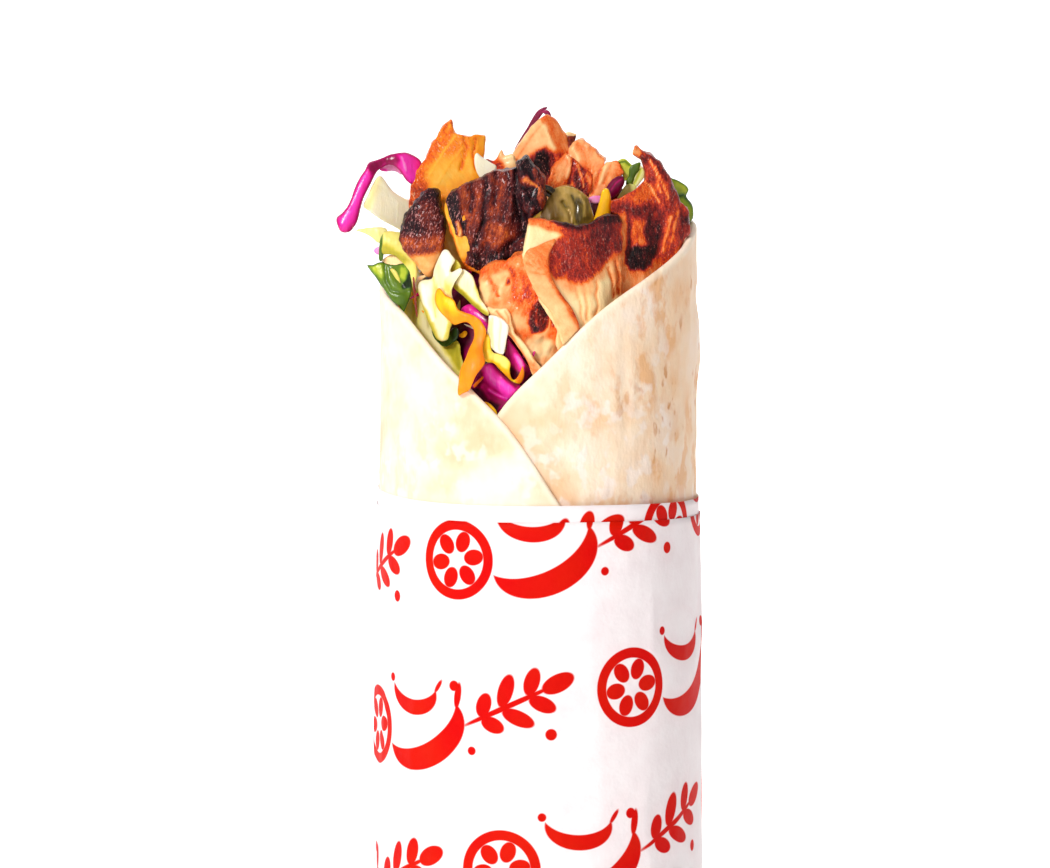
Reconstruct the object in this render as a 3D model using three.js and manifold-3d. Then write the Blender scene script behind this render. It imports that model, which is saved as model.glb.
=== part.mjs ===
// A doner kebab wrap: a flatbread rolled round chicken slices and shredded salad, its lower
// two thirds in a greaseproof paper that is folded flat under the foot.
// Units are millimetres and +Z is up. The origin is the middle of the flat foot, -Y is the
// front, where the two flaps of bread cross, and +X is the right hand side.
import * as THREE from "three";
import { mergeVertices } from "three/addons/utils/BufferGeometryUtils.js";
import Module from "manifold-3d";

const wasm = await Module();
wasm.setup();

// ---- Driving dimensions ----
const GAP = 0.3; // clearance between pieces that touch
const TURN_GAP = 0.15; // clearance between the turns of one rolled sheet
const BREAD_THICK = 1.5;
const BREAD_INSIDE = 30.5; // inside radius where the bread begins, at the front
const BREAD_FOOT = 1.8; // height of the bread's tucked end above the table
const PAPER_THICK = 0.3;
const PAPER_HEIGHT = 127.7; // top edge of the inner turn of paper, at the front
const PAPER_DROP = 3.4; // how much lower the edge is one turn further out
const PAPER_FLARE = 0.9; // how much wider the paper is at its foot than at its edge
const PAPER_CORNER = 5; // radius of the fold round the foot
const PAPER_FLOOR = 1.4; // folded paper under the foot
const PAPER_RIM = 8; // height up to which the folds at the foot make one thick ring
const ROUND = 24; // sides of a full round
const SHEET_STEP = 12; // degrees between the bends of a rolled sheet

const BREAD_PITCH = BREAD_THICK + TURN_GAP;
const PAPER_PITCH = PAPER_THICK + TURN_GAP;
const FILL_RADIUS = BREAD_INSIDE - GAP;
const FILL_FOOT = BREAD_FOOT + BREAD_THICK + GAP;

const COLOURS = {
  paper: 0xf6f3f2,
  bread: 0xf1e2c4,
  salad: 0xc9cf7a,
  meat: 0xa85a2c,
  char: 0x4a2018,
  orange: 0xe98a2a,
  redCabbage: 0xb01a86,
  whiteCabbage: 0xf3edc4,
  lettuce: 0xc4cf5a,
  herb: 0x3f7a2c,
  pickle: 0x7d7a2f,
};

// ---- Small maths ----
const radians = (degrees) => (degrees * Math.PI) / 180;

// The value at `at` of a smooth curve through [where, value] pairs, held level past both ends.
function through(pairs, at) {
  const last = pairs.length - 1;
  if (at <= pairs[0][0]) return pairs[0][1];
  if (at >= pairs[last][0]) return pairs[last][1];
  const i = pairs.findIndex(([where]) => where > at) - 1;
  const slope = (k) => {
    const a = pairs[Math.max(k - 1, 0)];
    const b = pairs[Math.min(k + 1, last)];
    return (b[1] - a[1]) / (b[0] - a[0]);
  };
  const [x0, y0] = pairs[i];
  const [x1, y1] = pairs[i + 1];
  const span = x1 - x0;
  const t = (at - x0) / span;
  const u = 1 - t;
  return (
    y0 * u * u * (1 + 2 * t) +
    y1 * t * t * (1 + 2 * u) +
    slope(i) * span * t * u * u -
    slope(i + 1) * span * t * t * u
  );
}

// A point `radius` from the axis, `turn` degrees round from the front towards the right.
function polar(turn, radius, z) {
  const a = radians(turn);
  return [radius * Math.sin(a), -radius * Math.cos(a), z];
}

// A point on the front of the filling, x and z as seen from the front, `inset` behind the bread.
function onFront(x, z, inset) {
  const radius = FILL_RADIUS - inset;
  const side = Math.min(Math.abs(x), radius * 0.96);
  return [x, -Math.sqrt(radius * radius - side * side), z];
}

// ---- Meshes and booleans ----
function geometryOf(points, triangles) {
  const made = new THREE.BufferGeometry();
  made.setAttribute("position", new THREE.Float32BufferAttribute(points.flat(), 3));
  made.setIndex(triangles);
  return made;
}

function solidOf(geometry) {
  const bare = geometry.clone();
  bare.deleteAttribute("normal");
  bare.deleteAttribute("uv");
  const merged = mergeVertices(bare, 1e-3);
  const mesh = new wasm.Mesh({
    numProp: 3,
    vertProperties: new Float32Array(merged.attributes.position.array),
    triVerts: new Uint32Array(merged.index.array),
  });
  const made = new wasm.Manifold(mesh);
  if (made.volume() > 0) return made;
  const turned = merged.index.array.slice();
  for (let i = 0; i < turned.length; i += 3) {
    [turned[i + 1], turned[i + 2]] = [turned[i + 2], turned[i + 1]];
  }
  return solidOf(geometryOf(pointsOf(merged), [...turned]));
}

function pointsOf(geometry) {
  const array = geometry.attributes.position.array;
  return Array.from({ length: array.length / 3 }, (_, i) => [...array.slice(3 * i, 3 * i + 3)]);
}

function meshOf(name, solid, colour, roughness) {
  const data = solid.getMesh();
  const made = new THREE.BufferGeometry();
  made.setAttribute("position", new THREE.BufferAttribute(data.vertProperties, 3));
  made.setIndex(new THREE.BufferAttribute(data.triVerts, 1));
  made.computeVertexNormals();
  const material = new THREE.MeshStandardMaterial({ color: colour, roughness, metalness: 0 });
  const mesh = new THREE.Mesh(made, material);
  mesh.name = name;
  return mesh;
}

// The biggest body of a solid, for when a cut leaves crumbs.
function biggest(solid) {
  return solid.decompose().reduce((a, b) => (a.volume() > b.volume() ? a : b));
}

// Triangles between rows of points: each row closes on itself, and both ends are capped.
function loft(rows) {
  const around = rows[0].length;
  const points = rows.flat();
  const triangles = [];
  for (let r = 0; r + 1 < rows.length; r++) {
    for (let i = 0; i < around; i++) {
      const j = (i + 1) % around;
      const a = r * around;
      const b = a + around;
      triangles.push(a + i, a + j, b + j, a + i, b + j, b + i);
    }
  }
  const cap = (row, first, turned) => {
    const middle = points.length;
    points.push([0, 1, 2].map((k) => row.reduce((sum, p) => sum + p[k], 0) / around));
    for (let i = 0; i < around; i++) {
      const j = (i + 1) % around;
      triangles.push(middle, first + (turned ? i : j), first + (turned ? j : i));
    }
  };
  cap(rows[0], 0, false);
  cap(rows[rows.length - 1], (rows.length - 1) * around, true);
  return geometryOf(points, triangles);
}

// ---- A sheet rolled round the axis ----
// `inner` and `outer` give the wall's two radii at a turn and height, `top` its edge at a turn.
function rolledSheet({ from, to, foot, top, rows, inner, outer }) {
  const count = Math.round((to - from) / SHEET_STEP);
  const sections = [];
  for (let i = 0; i <= count; i++) {
    const turn = from + ((to - from) * i) / count;
    const heights = rows.map((share) => foot + share * (top(turn) - foot));
    sections.push([
      ...heights.map((z) => polar(turn, outer(turn, z), z)),
      ...heights.reverse().map((z) => polar(turn, inner(turn, z), z)),
    ]);
  }
  return loft(sections);
}

// ---- Bread ----
// Heights of the bread's edge round its roll: it starts under the left flap, crosses the
// front as the right flap, goes round the back and comes down the front again as the left.
const BREAD_EDGE = [
  [-62, 104],
  [-16, 145.6],
  [4, 157.3],
  [24, 167],
  [45, 173.8],
  [66, 179.3],
  [84, 183.5],
  [150, 185],
  [220, 177],
  [270, 170.5],
  [299, 166.6],
  [312, 162.4],
  [326, 156],
  [340, 149],
  [350, 143],
  [363, 132],
  [374, 120],
  [398, 70],
];
const BREAD_START = BREAD_EDGE[0][0];
const BREAD_END = BREAD_EDGE[BREAD_EDGE.length - 1][0];
const BREAD_ROWS = [0, 0.66, 0.8, 0.92, 1]; // shares of the height at which the sheet bends
const HALF_WAY = 180; // where the bread's clearance zone is split, so that it can't cross itself

const breadEdge = (turn) => through(BREAD_EDGE, turn);

const BREAD_FULLER = 0.7; // how much further out the roll goes on its right side

// The roll is not quite round: soft dents that differ with the turn and the height.
function breadSwell(turn, z) {
  const a = radians(turn);
  return 0.35 * Math.sin(3 * a + z / 17) + 0.25 * Math.sin(5 * a - z / 11);
}

function breadInside(turn, z) {
  const above = Math.max(0, z - PAPER_HEIGHT) / (183 - PAPER_HEIGHT);
  const fuller = BREAD_FULLER * Math.max(0, Math.sin(radians(turn))) ** 2;
  const round = BREAD_INSIDE + (BREAD_PITCH * turn) / 360 + fuller;
  return round + breadSwell(turn, z) * Math.min(1, above * 2);
}

function makeBread() {
  const sheet = rolledSheet({
    from: BREAD_START,
    to: BREAD_END,
    foot: BREAD_FOOT,
    top: breadEdge,
    rows: BREAD_ROWS,
    inner: breadInside,
    outer: (turn, z) => breadInside(turn, z) + BREAD_THICK * (breadEdge(turn) - z < 1 ? 0.55 : 1),
  });
  const tuckedRadius = BREAD_INSIDE + BREAD_THICK / 4;
  const tucked = new THREE.CylinderGeometry(tuckedRadius, tuckedRadius, BREAD_THICK, ROUND);
  tucked.rotateX(Math.PI / 2);
  tucked.translate(0, 0, BREAD_FOOT + BREAD_THICK / 2);
  return solidOf(sheet).add(solidOf(tucked));
}

const ZONE_REACH = 20; // how far out of the bread its clearance zone goes

const outsideBread = () => BREAD_INSIDE + ZONE_REACH;
const justOutside = (turn, z) => breadInside(turn, z) + BREAD_THICK + GAP;

// All that the filling keeps out of: the bread, a gap inside it and the space outside it. A
// piece that hangs over the bread's edge keeps out of the bread and the gaps only.
function makeBreadZone(outer = outsideBread) {
  const part = (from, to) =>
    solidOf(
      rolledSheet({
        from,
        to,
        foot: -1,
        top: (turn) => breadEdge(turn) + GAP,
        rows: BREAD_ROWS,
        inner: (turn, z) => breadInside(turn, z) - GAP,
        outer,
      }),
    );
  return part(BREAD_START - 2, HALF_WAY).add(part(HALF_WAY - 2, BREAD_END + 2));
}

// ---- Paper ----
const PAPER_START = -104; // inner end of the sheet, behind the left side
const PAPER_END = 466; // outer end, behind the right side
const PAPER_INSIDE = BREAD_INSIDE + BREAD_THICK + 0.83 * BREAD_PITCH + GAP; // clear of the left flap
const PAPER_BULGE = 0.6; // how far it stands out where it passes over the bread's outer end
const PAPER_BULGE_TURN = 12; // middle of that bulge, in degrees

function paperRadius(turn, z) {
  const flare = PAPER_FLARE * Math.max(0, 1 - z / PAPER_HEIGHT);
  const bulge = PAPER_BULGE * Math.max(0, Math.cos(radians(turn - PAPER_BULGE_TURN))) ** 2;
  return PAPER_INSIDE + (PAPER_PITCH * (turn - PAPER_START)) / 360 + bulge + flare;
}

function makePaper() {
  const wall = solidOf(
    rolledSheet({
      from: PAPER_START,
      to: PAPER_END,
      foot: PAPER_CORNER * 0.6,
      top: (turn) => PAPER_HEIGHT - (PAPER_DROP * turn) / 360,
      rows: [0, 1],
      inner: (turn, z) => paperRadius(turn, z),
      outer: (turn, z) => paperRadius(turn, z) + PAPER_THICK,
    }),
  );
  const outside = paperRadius(PAPER_END, 0) + PAPER_THICK + PAPER_BULGE;
  const inside = paperRadius(PAPER_START, 0) - PAPER_THICK / 3;
  const bends = 3;
  const corner = Array.from({ length: bends + 1 }, (_, i) => {
    const a = (i / bends) * (Math.PI / 2);
    const along = PAPER_CORNER * Math.sin(a);
    return new THREE.Vector2(outside - PAPER_CORNER + along, PAPER_CORNER * (1 - Math.cos(a)));
  });
  const cup = new THREE.LatheGeometry(
    [
      new THREE.Vector2(0, 0),
      ...corner,
      new THREE.Vector2(outside, PAPER_RIM),
      new THREE.Vector2(inside, PAPER_RIM),
      new THREE.Vector2(inside, PAPER_FLOOR),
      new THREE.Vector2(0, PAPER_FLOOR),
    ],
    ROUND,
  );
  cup.rotateX(Math.PI / 2);
  return wall.add(solidOf(cup));
}

// ---- Slices: pillows with the outline seen from the front ----
// `outline` is in x and z round the middle `at`. `depth` is where the middle lies front to
// back, or `inset` how far it is behind the front of the filling. `lean` and `curl` bend it,
// `pleats` is [height, pitch, degrees] of waves across it, and `grow` swells it for clearance.
const RIM = [0.6, 0.92, 1];

function slice(spec, grow = 0) {
  const { at, outline, thick, depth, inset, sides = 17 } = spec;
  const { lean = [0, 0], curl = [0, 0], pleats = [0, 10, 0] } = spec;
  const edge = new THREE.CatmullRomCurve3(
    outline.map(([x, z]) => new THREE.Vector3(x, 0, z)),
    true,
    "centripetal",
  ).getSpacedPoints(sides);
  edge.pop();
  const ragged = (i) => 0.35 * Math.sin(2.3 * i + outline.length) * (grow ? 0 : 1);
  const reach = edge.map((p, i) => 1 + (grow + ragged(i)) / Math.max(1, p.length()));
  const bend = (x, z) => {
    const across = x * Math.cos(radians(pleats[2])) + z * Math.sin(radians(pleats[2]));
    const wave = pleats[0] * Math.sin((2 * Math.PI * across) / pleats[1]);
    const sag = (curl[0] * x * x + curl[1] * z * z) / 100;
    const base = inset === undefined ? depth : onFront(at[0] + x, 0, inset)[1];
    return base + lean[0] * x + lean[1] * z + sag + wave;
  };
  const ring = (share, side) =>
    edge.map((p, i) => {
      const x = p.x * share * reach[i];
      const z = p.z * share * reach[i];
      const half = (thick / 2 + grow) * Math.sqrt(Math.max(0, 1 - share ** 5));
      return [at[0] + x, bend(x, z) + side * half, at[1] + z];
    });
  const front = RIM.map((share) => ring(share, -1));
  const back = RIM.slice(0, -1).map((share) => ring(share, 1));
  return solidOf(loft([...front, ...back.reverse()]));
}

// ---- Ribbons: flat strips along a curve ----
// `spine` is a list of [x, z, inset] on the front of the filling, or [x, y, z] when `free`.
// `face` is the way its broad side looks at the start and the end.
const SECTION = [
  [1, 0],
  [0.6, 1],
  [-0.6, 1],
  [-1, 0],
  [-0.6, -1],
  [0.6, -1],
];
const FORWARD = [0, -1, 0.1];

function ribbon(spec, grow = 0) {
  const { spine, free = false, width, thick, steps = 7, cup = 0 } = spec;
  const { face = [FORWARD, FORWARD], taper = [0.7, 0.7] } = spec;
  const nodes = spine.map((p) => new THREE.Vector3(...(free ? p : onFront(...p))));
  const curve = new THREE.CatmullRomCurve3(nodes, false, "centripetal");
  const rows = [];
  for (let i = 0; i <= steps; i++) {
    const t = i / steps;
    const tangent = curve.getTangentAt(t);
    const looks = new THREE.Vector3(...face[0]).lerp(new THREE.Vector3(...face[1]), t);
    const normal = looks.addScaledVector(tangent, -looks.dot(tangent)).normalize();
    const side = new THREE.Vector3().crossVectors(tangent, normal);
    const end = Math.min(t / 0.2, (1 - t) / 0.2, 1);
    const share = 1 - (1 - (t < 0.5 ? taper[0] : taper[1])) * (1 - end) ** 2;
    const middle = curve.getPointAt(t);
    if (i === 0) middle.addScaledVector(tangent, -grow);
    if (i === steps) middle.addScaledVector(tangent, grow);
    rows.push(
      SECTION.map(([across, out]) => {
        const half = (width / 2) * share + grow;
        const point = middle.clone().addScaledVector(side, across * half);
        point.addScaledVector(normal, out * (thick / 2 + grow) - cup * across * across);
        return point.toArray();
      }),
    );
  }
  return solidOf(loft(rows));
}

// ---- The pieces, front ones first, because each is cut back from those before it ----
const M = { colour: COLOURS.meat, make: slice, roughness: 0.45 };
const V = { make: ribbon, roughness: 0.35 };
const LEFTWARDS = [-1, -0.4, 0.3];

const PIECES = {
  carrot_ribbon: {
    ...V,
    colour: COLOURS.orange,
    spine: [
      [-19, 171.5, 0.6],
      [-19, 166.5, 0.2],
      [-14.5, 165, 0.2],
      [-12, 161.5, -0.6],
      [-13, 157.8, -3.4],
      [-14.4, 154, -4.5],
      [-15.4, 149.6, -4.5],
    ],
    hangsOver: true,
    width: 3.8,
    thick: 1.3,
    steps: 12,
    taper: [0.5, 0.4],
  },
  carrot_loop: {
    ...V,
    colour: COLOURS.orange,
    spine: [[-11, 162, 1.2], [-11, 157.5, 0.2], [-6.5, 155.5, 0.2], [-4, 152.5, 1.2], [-3, 156, 2.6]],
    width: 2.8,
    thick: 1.1,
    steps: 12,
    face: [FORWARD, [0.6, -0.8, 0.2]],
  },
  front_slice: {
    ...M,
    at: [7.5, 174],
    outline: [
      [-10, 12],
      [0.5, 10.2],
      [10, 12],
      [10.4, 0],
      [10.5, -16],
      [2, -16],
      [-4, -9.5],
      [-10, -1.5],
    ],
    inset: 3.2,
    thick: 4.6,
    lean: [0.12, 0.14],
    pleats: [0.5, 9, 20],
  },
  lower_slice: {
    ...M,
    at: [-2.5, 168.5],
    outline: [
      [-9, 6.5],
      [0, 10],
      [8, 6],
      [12, -10],
      [4, -12],
      [-3, -7],
      [-8.6, -1.5],
    ],
    inset: 6.4,
    thick: 5,
    lean: [0.1, 0.1],
    pleats: [0.5, 8, 60],
  },
  cabbage_curl: {
    ...V,
    colour: COLOURS.whiteCabbage,
    spine: [[-19, 179.5, 5], [-21.5, 172.5, 2.4], [-21, 166, 1.8], [-18.5, 160.5, 2.4]],
    width: 6.4,
    thick: 1.5,
    cup: 1.2,
    face: [[-0.2, -1, 0.3], FORWARD],
  },
  lettuce_ribbon: {
    ...V,
    colour: COLOURS.lettuce,
    spine: [[-18, 176.5, 4.4], [-13, 171, 3.2], [-9.5, 164, 3]],
    width: 4.2,
    thick: 1.3,
    cup: 0.5,
  },
  white_cabbage_strip: {
    ...V,
    colour: COLOURS.whiteCabbage,
    spine: [[-8.8, 166, 1.6], [-7.8, 161.5, 1], [-8.2, 157, 1.4]],
    width: 3.6,
    thick: 1.3,
    steps: 6,
  },
  red_cabbage_front: {
    ...V,
    colour: COLOURS.redCabbage,
    spine: [[-11.8, 156.5, 2.6], [-8.4, 154, 2], [-4.5, 150, 2], [0, 146, 2.2]],
    width: 3.8,
    thick: 2.2,
    steps: 7,
  },
  red_cabbage_side: {
    ...V,
    colour: COLOURS.redCabbage,
    spine: [[-7, 163, 3.8], [-4.4, 158.5, 3.6], [-2, 153.5, 4]],
    width: 4,
    thick: 1.4,
    steps: 6,
  },
  cabbage_rib: {
    ...V,
    colour: COLOURS.whiteCabbage,
    spine: [[-6, 163.5, 2.4], [-3, 159.5, 2.4], [2, 152.5, 3]],
    width: 2.4,
    thick: 1.6,
    steps: 6,
  },
  red_cabbage_back: {
    ...V,
    colour: COLOURS.redCabbage,
    spine: [[-17, 168, 5], [-13, 166, 4.8], [-9.5, 163, 5.2]],
    width: 3.6,
    thick: 1.4,
    steps: 6,
  },
  lettuce_side: {
    ...V,
    colour: COLOURS.lettuce,
    spine: [[-25.4, 171, 2.6], [-22.8, 163, 2], [-18, 155.5, 1.8], [-11, 147, 2.2]],
    width: 5,
    thick: 1.3,
    cup: 0.6,
  },
  onion_leaf: {
    ...M,
    colour: COLOURS.herb,
    at: [-30.3, 171.5],
    outline: [
      [-5.2, 4.8],
      [-1, 5],
      [4.4, 4],
      [4.4, -3.5],
      [2.6, -6],
      [-1.8, 0.2],
    ],
    depth: -11.5,
    thick: 2.2,
    lean: [-0.5, 0.1],
    sides: 18,
  },
  dark_slice: {
    ...M,
    colour: COLOURS.char,
    at: [-9, 185.5],
    outline: [
      [-10, 5],
      [-4, 9],
      [4.5, 11.5],
      [9, 9.5],
      [10.5, 2],
      [6.8, -7],
      [-3.5, -10.5],
      [-9.5, -4],
    ],
    depth: -17.5,
    thick: 8,
    curl: [1.6, 1.2],
    pleats: [0.7, 4.6, -12],
    sides: 20,
  },
  char_chunk: {
    ...M,
    colour: COLOURS.char,
    at: [-23.4, 182],
    outline: [
      [1.8, 9],
      [-2.5, 5.8],
      [-4.6, 1],
      [-3, -5],
      [1, -9.5],
      [3.8, -2.5],
      [4, 3],
    ],
    depth: -13,
    thick: 7,
    curl: [2, 1.5],
    sides: 18,
  },
  red_cabbage_arch: {
    ...V,
    colour: COLOURS.redCabbage,
    free: true,
    spine: [[-40, -8, 184.5], [-38, -7, 190], [-36, -5.5, 194.5], [-32, -4.5, 197.5], [-27.5, -3.5, 197], [-24.5, -2, 190]],
    width: 3.4,
    thick: 2.2,
    steps: 12,
    face: [[-0.5, -1, 0.3], LEFTWARDS],
    taper: [1.1, 1],
  },
  lettuce_tip: {
    ...V,
    colour: COLOURS.lettuce,
    free: true,
    spine: [[-37.4, -9, 182.4], [-32.5, -11, 181.6], [-29, -12, 178.5], [-25.5, -13.5, 171]],
    width: 4.4,
    thick: 1.3,
    cup: 0.5,
    face: [[0, -1, 0.8], [-0.6, -1, 0]],
    taper: [0.1, 0.8],
  },
  white_cabbage_wedge: {
    ...M,
    colour: COLOURS.whiteCabbage,
    roughness: 0.35,
    at: [-30.5, 188],
    outline: [
      [-2.5, 6],
      [3.5, 1],
      [8, -4],
      [8, -8],
      [0, -4.4],
      [-5.4, -1],
    ],
    depth: -5,
    thick: 2.6,
    lean: [0.2, 0],
    sides: 18,
  },
  yellow_pepper_strip: {
    ...M,
    colour: COLOURS.orange,
    at: [13.4, 187.5],
    outline: [
      [0.2, 4.4],
      [1.7, 1.6],
      [1.6, -6],
      [-1.6, -6],
      [-1.2, 0],
    ],
    depth: -13.5,
    thick: 1.8,
    sides: 14,
  },
  pickled_pepper: {
    ...M,
    colour: COLOURS.pickle,
    at: [6, 187.6],
    outline: [
      [-2.4, 4],
      [1.8, 4],
      [5, 0.6],
      [5.4, -4.5],
      [-1.6, -5.6],
      [-5, -1],
    ],
    depth: -11,
    thick: 7.6,
    sides: 20,
  },
  right_slice: {
    ...M,
    at: [22.5, 186],
    outline: [
      [-2.6, 14.8],
      [2, 10.6],
      [5, 5],
      [8.6, -2],
      [8, -14],
      [-5.5, -17],
      [-7.6, -6],
      [-6.8, 2.6],
      [-1.6, 7],
    ],
    depth: -12,
    thick: 5.4,
    lean: [0.5, 0.12],
    pleats: [0.6, 7, 10],
  },
  orange_slice: {
    ...M,
    colour: COLOURS.orange,
    at: [-19.2, 192],
    outline: [
      [1.8, 14.4],
      [4.4, 10],
      [8.6, 10.2],
      [6.6, 5],
      [8, -8],
      [4, -18],
      [-6, -12],
      [-8, -3.5],
      [-3.6, 7],
    ],
    depth: -5.5,
    thick: 3.4,
    lean: [0.1, 0.05],
    curl: [2.2, 0],
  },
  herb_piece: {
    ...M,
    colour: COLOURS.herb,
    at: [19, 193],
    outline: [
      [-2.8, 3.6],
      [2.4, 3.6],
      [2.8, -1],
      [-1.2, -5],
      [-3, -2],
    ],
    depth: -5,
    thick: 3.2,
    sides: 14,
  },
  red_cabbage_bit: {
    ...V,
    colour: COLOURS.redCabbage,
    free: true,
    spine: [[17.8, -7.4, 193.4], [15, -8, 189.5], [11.5, -8.5, 185]],
    width: 2.8,
    thick: 1.4,
    steps: 6,
  },
  cucumber_slice: {
    ...M,
    colour: COLOURS.herb,
    at: [28.4, 188.5],
    outline: [
      [-2.4, 5.4],
      [2.6, 3.4],
      [2.8, -5.5],
      [-3.6, -5.5],
    ],
    depth: -1.5,
    thick: 2.6,
    lean: [0.6, 0],
    sides: 16,
  },
  pale_slice: {
    ...M,
    at: [0.6, 196.5],
    outline: [
      [-6.4, 1],
      [-0.6, 9],
      [2.4, 9],
      [6.2, 5],
      [5.4, -4],
      [2, -12],
      [-5, -10],
    ],
    depth: -2.5,
    thick: 4.4,
    lean: [0.1, 0.1],
    curl: [3, 0],
    sides: 20,
  },
  torn_slice: {
    ...M,
    at: [12, 193.5],
    outline: [
      [-5, 5],
      [-2.4, 8],
      [1, 4.6],
      [5.6, 2.6],
      [5.4, -1],
      [2, -11],
      [-4.4, -10],
    ],
    depth: -1.5,
    thick: 4.2,
    lean: [-0.1, 0.1],
    curl: [-3, 0],
    sides: 20,
  },
  garlic_bit: {
    ...M,
    colour: COLOURS.whiteCabbage,
    at: [-10.6, 195],
    outline: [
      [-2.2, 3.4],
      [0, 2.4],
      [2.6, 1],
      [2, -6],
      [-2.4, -6],
    ],
    depth: -6.5,
    thick: 2.4,
    sides: 12,
  },
  red_cabbage_tip: {
    ...V,
    colour: COLOURS.redCabbage,
    free: true,
    spine: [[1.6, 2.4, 207.4], [-1.6, 3, 203.5], [-4.4, 3.6, 197.5], [-6, 4, 190]],
    width: 2.2,
    thick: 1.3,
    steps: 8,
    face: [LEFTWARDS, LEFTWARDS],
    taper: [0.3, 1],
  },
  rear_slice_left: {
    ...M,
    at: [-12, 186],
    outline: [
      [-9, 3],
      [-3, 8],
      [5, 7],
      [9, 1],
      [7, -11],
      [-7, -11],
    ],
    depth: 9,
    thick: 5,
    lean: [0, -0.3],
    curl: [-2.4, 0],
    pleats: [0.5, 7, 0],
  },
  rear_slice_right: {
    ...M,
    at: [11, 185],
    outline: [
      [-8, 6],
      [0, 7.6],
      [8, 5],
      [9, -4],
      [5, -10],
      [-7, -10],
    ],
    depth: 11.5,
    thick: 5,
    lean: [0, -0.3],
    curl: [-2.4, 0],
    pleats: [0.5, 7, 20],
  },
  rear_lettuce: {
    ...V,
    colour: COLOURS.lettuce,
    free: true,
    spine: [[-24, 12, 177], [-16, 20.5, 188.5], [-5, 23.5, 187], [4, 24.5, 178]],
    width: 6,
    thick: 1.4,
    cup: 0.6,
    face: [[0, 1, 0.6], [0, 1, 0.6]],
  },
  rear_red_cabbage: {
    ...V,
    colour: COLOURS.redCabbage,
    free: true,
    spine: [[2, 23, 177], [8, 22, 190.5], [15, 20, 188], [19.5, 17, 177]],
    width: 3.6,
    thick: 1.8,
    face: [[0, 0.6, 1], [0, 0.6, 1]],
  },
  rear_carrot: {
    ...V,
    colour: COLOURS.orange,
    free: true,
    spine: [[-20, 3, 178], [-21.5, 9, 187.5], [-17, 14.5, 185], [-13, 18, 176]],
    width: 3.4,
    thick: 1.4,
    face: [[0, 0.3, 1], [0, 0.6, 1]],
  },
};

// ---- What fills the roll from foot to mouth ----
const CORE_TOP = 175;
const CORE_SLOPE = 6; // how much higher the heap on top is at the back, and lower at the front
const CORE_WALL = [FILL_FOOT, 138, 152, 166]; // heights of its rows of points
const CORE_HEAP = [0.9, 0.5]; // shares of its radius at which the heap has rows
const CORE_SET_BACK = 5; // how far it stays behind the pieces that show in the bread's opening

// The core fills the roll below the bread's edge, draws in behind the opening at the front,
// and narrows towards the top of the heap.
function coreRadius(turn, z) {
  const open = Math.max(0, Math.min(1, (z - 138) / 16)) * Math.max(0, Math.cos(radians(turn)));
  return FILL_RADIUS - 2 * GAP - CORE_SET_BACK * open - Math.max(0, z - 164) * 0.2;
}

function makeCores(zone) {
  const turns = Array.from({ length: ROUND }, (_, i) => (360 * i) / ROUND);
  const wall = CORE_WALL.map((z) =>
    turns.map((turn) => polar(turn, coreRadius(turn, z), z)),
  );
  const heap = CORE_HEAP.map((share) =>
    turns.map((turn) => {
      const bumps = 2 * Math.sin(radians(3 * turn + 40)) + 4 * (1 - share);
      const height = CORE_TOP - CORE_SLOPE * share * Math.cos(radians(turn)) + bumps;
      return polar(turn, coreRadius(turn, CORE_TOP) * share, height);
    }),
  );
  const whole = solidOf(loft([...wall, ...heap])).subtract(zone);
  const parting = new THREE.CatmullRomCurve3(
    [[6, -32], [0, -22], [-6, -8], [-3, 6], [-12, 20], [-10, 33]].map(
      ([x, y]) => new THREE.Vector3(x, y, 0),
    ),
  ).getSpacedPoints(10);
  const rows = parting.map((p) => [
    [p.x - GAP / 2, p.y, 0],
    [p.x + GAP / 2, p.y, 0],
    [p.x + GAP / 2, p.y, CORE_TOP * 1.2],
    [p.x - GAP / 2, p.y, CORE_TOP * 1.2],
  ]);
  const halves = whole.subtract(solidOf(loft(rows))).decompose();
  halves.sort((a, b) => b.volume() - a.volume());
  const centre = (solid) => {
    const { min, max } = solid.boundingBox();
    return min[0] + max[0];
  };
  return centre(halves[0]) < centre(halves[1]) ? halves.slice(0, 2) : [halves[1], halves[0]];
}

// ---- Assembly ----
const wrap = new THREE.Group();
wrap.add(meshOf("paper_wrap", makePaper(), COLOURS.paper, 0.6));
wrap.add(meshOf("flatbread", makeBread(), COLOURS.bread, 0.75));

const zone = makeBreadZone();
const closeZone = makeBreadZone(justOutside);
const cleared = [];
const clearOf = (solid) => cleared.reduce((rest, other) => rest.subtract(other), solid);
for (const [name, spec] of Object.entries(PIECES)) {
  const solid = clearOf(spec.make(spec).subtract(spec.hangsOver ? closeZone : zone));
  wrap.add(meshOf(name, biggest(solid), spec.colour, spec.roughness));
  cleared.push(spec.make(spec, GAP));
}

const [saladCore, meatCore] = makeCores(zone).map(clearOf);
wrap.add(meshOf("salad_filling", biggest(saladCore), COLOURS.salad, 0.5));
wrap.add(meshOf("meat_filling", biggest(meatCore), COLOURS.meat, 0.5));

export default wrap;
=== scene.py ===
"""A doner kebab wrap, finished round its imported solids.

A flatbread is rolled round chicken slices and shredded salad and stands in a printed
greaseproof paper. Shapes are worked out in millimetres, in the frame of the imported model
(+Z up, the front is -Y), and become metres when a mesh is made.
"""

import itertools
import math
from functools import partialmethod

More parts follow.
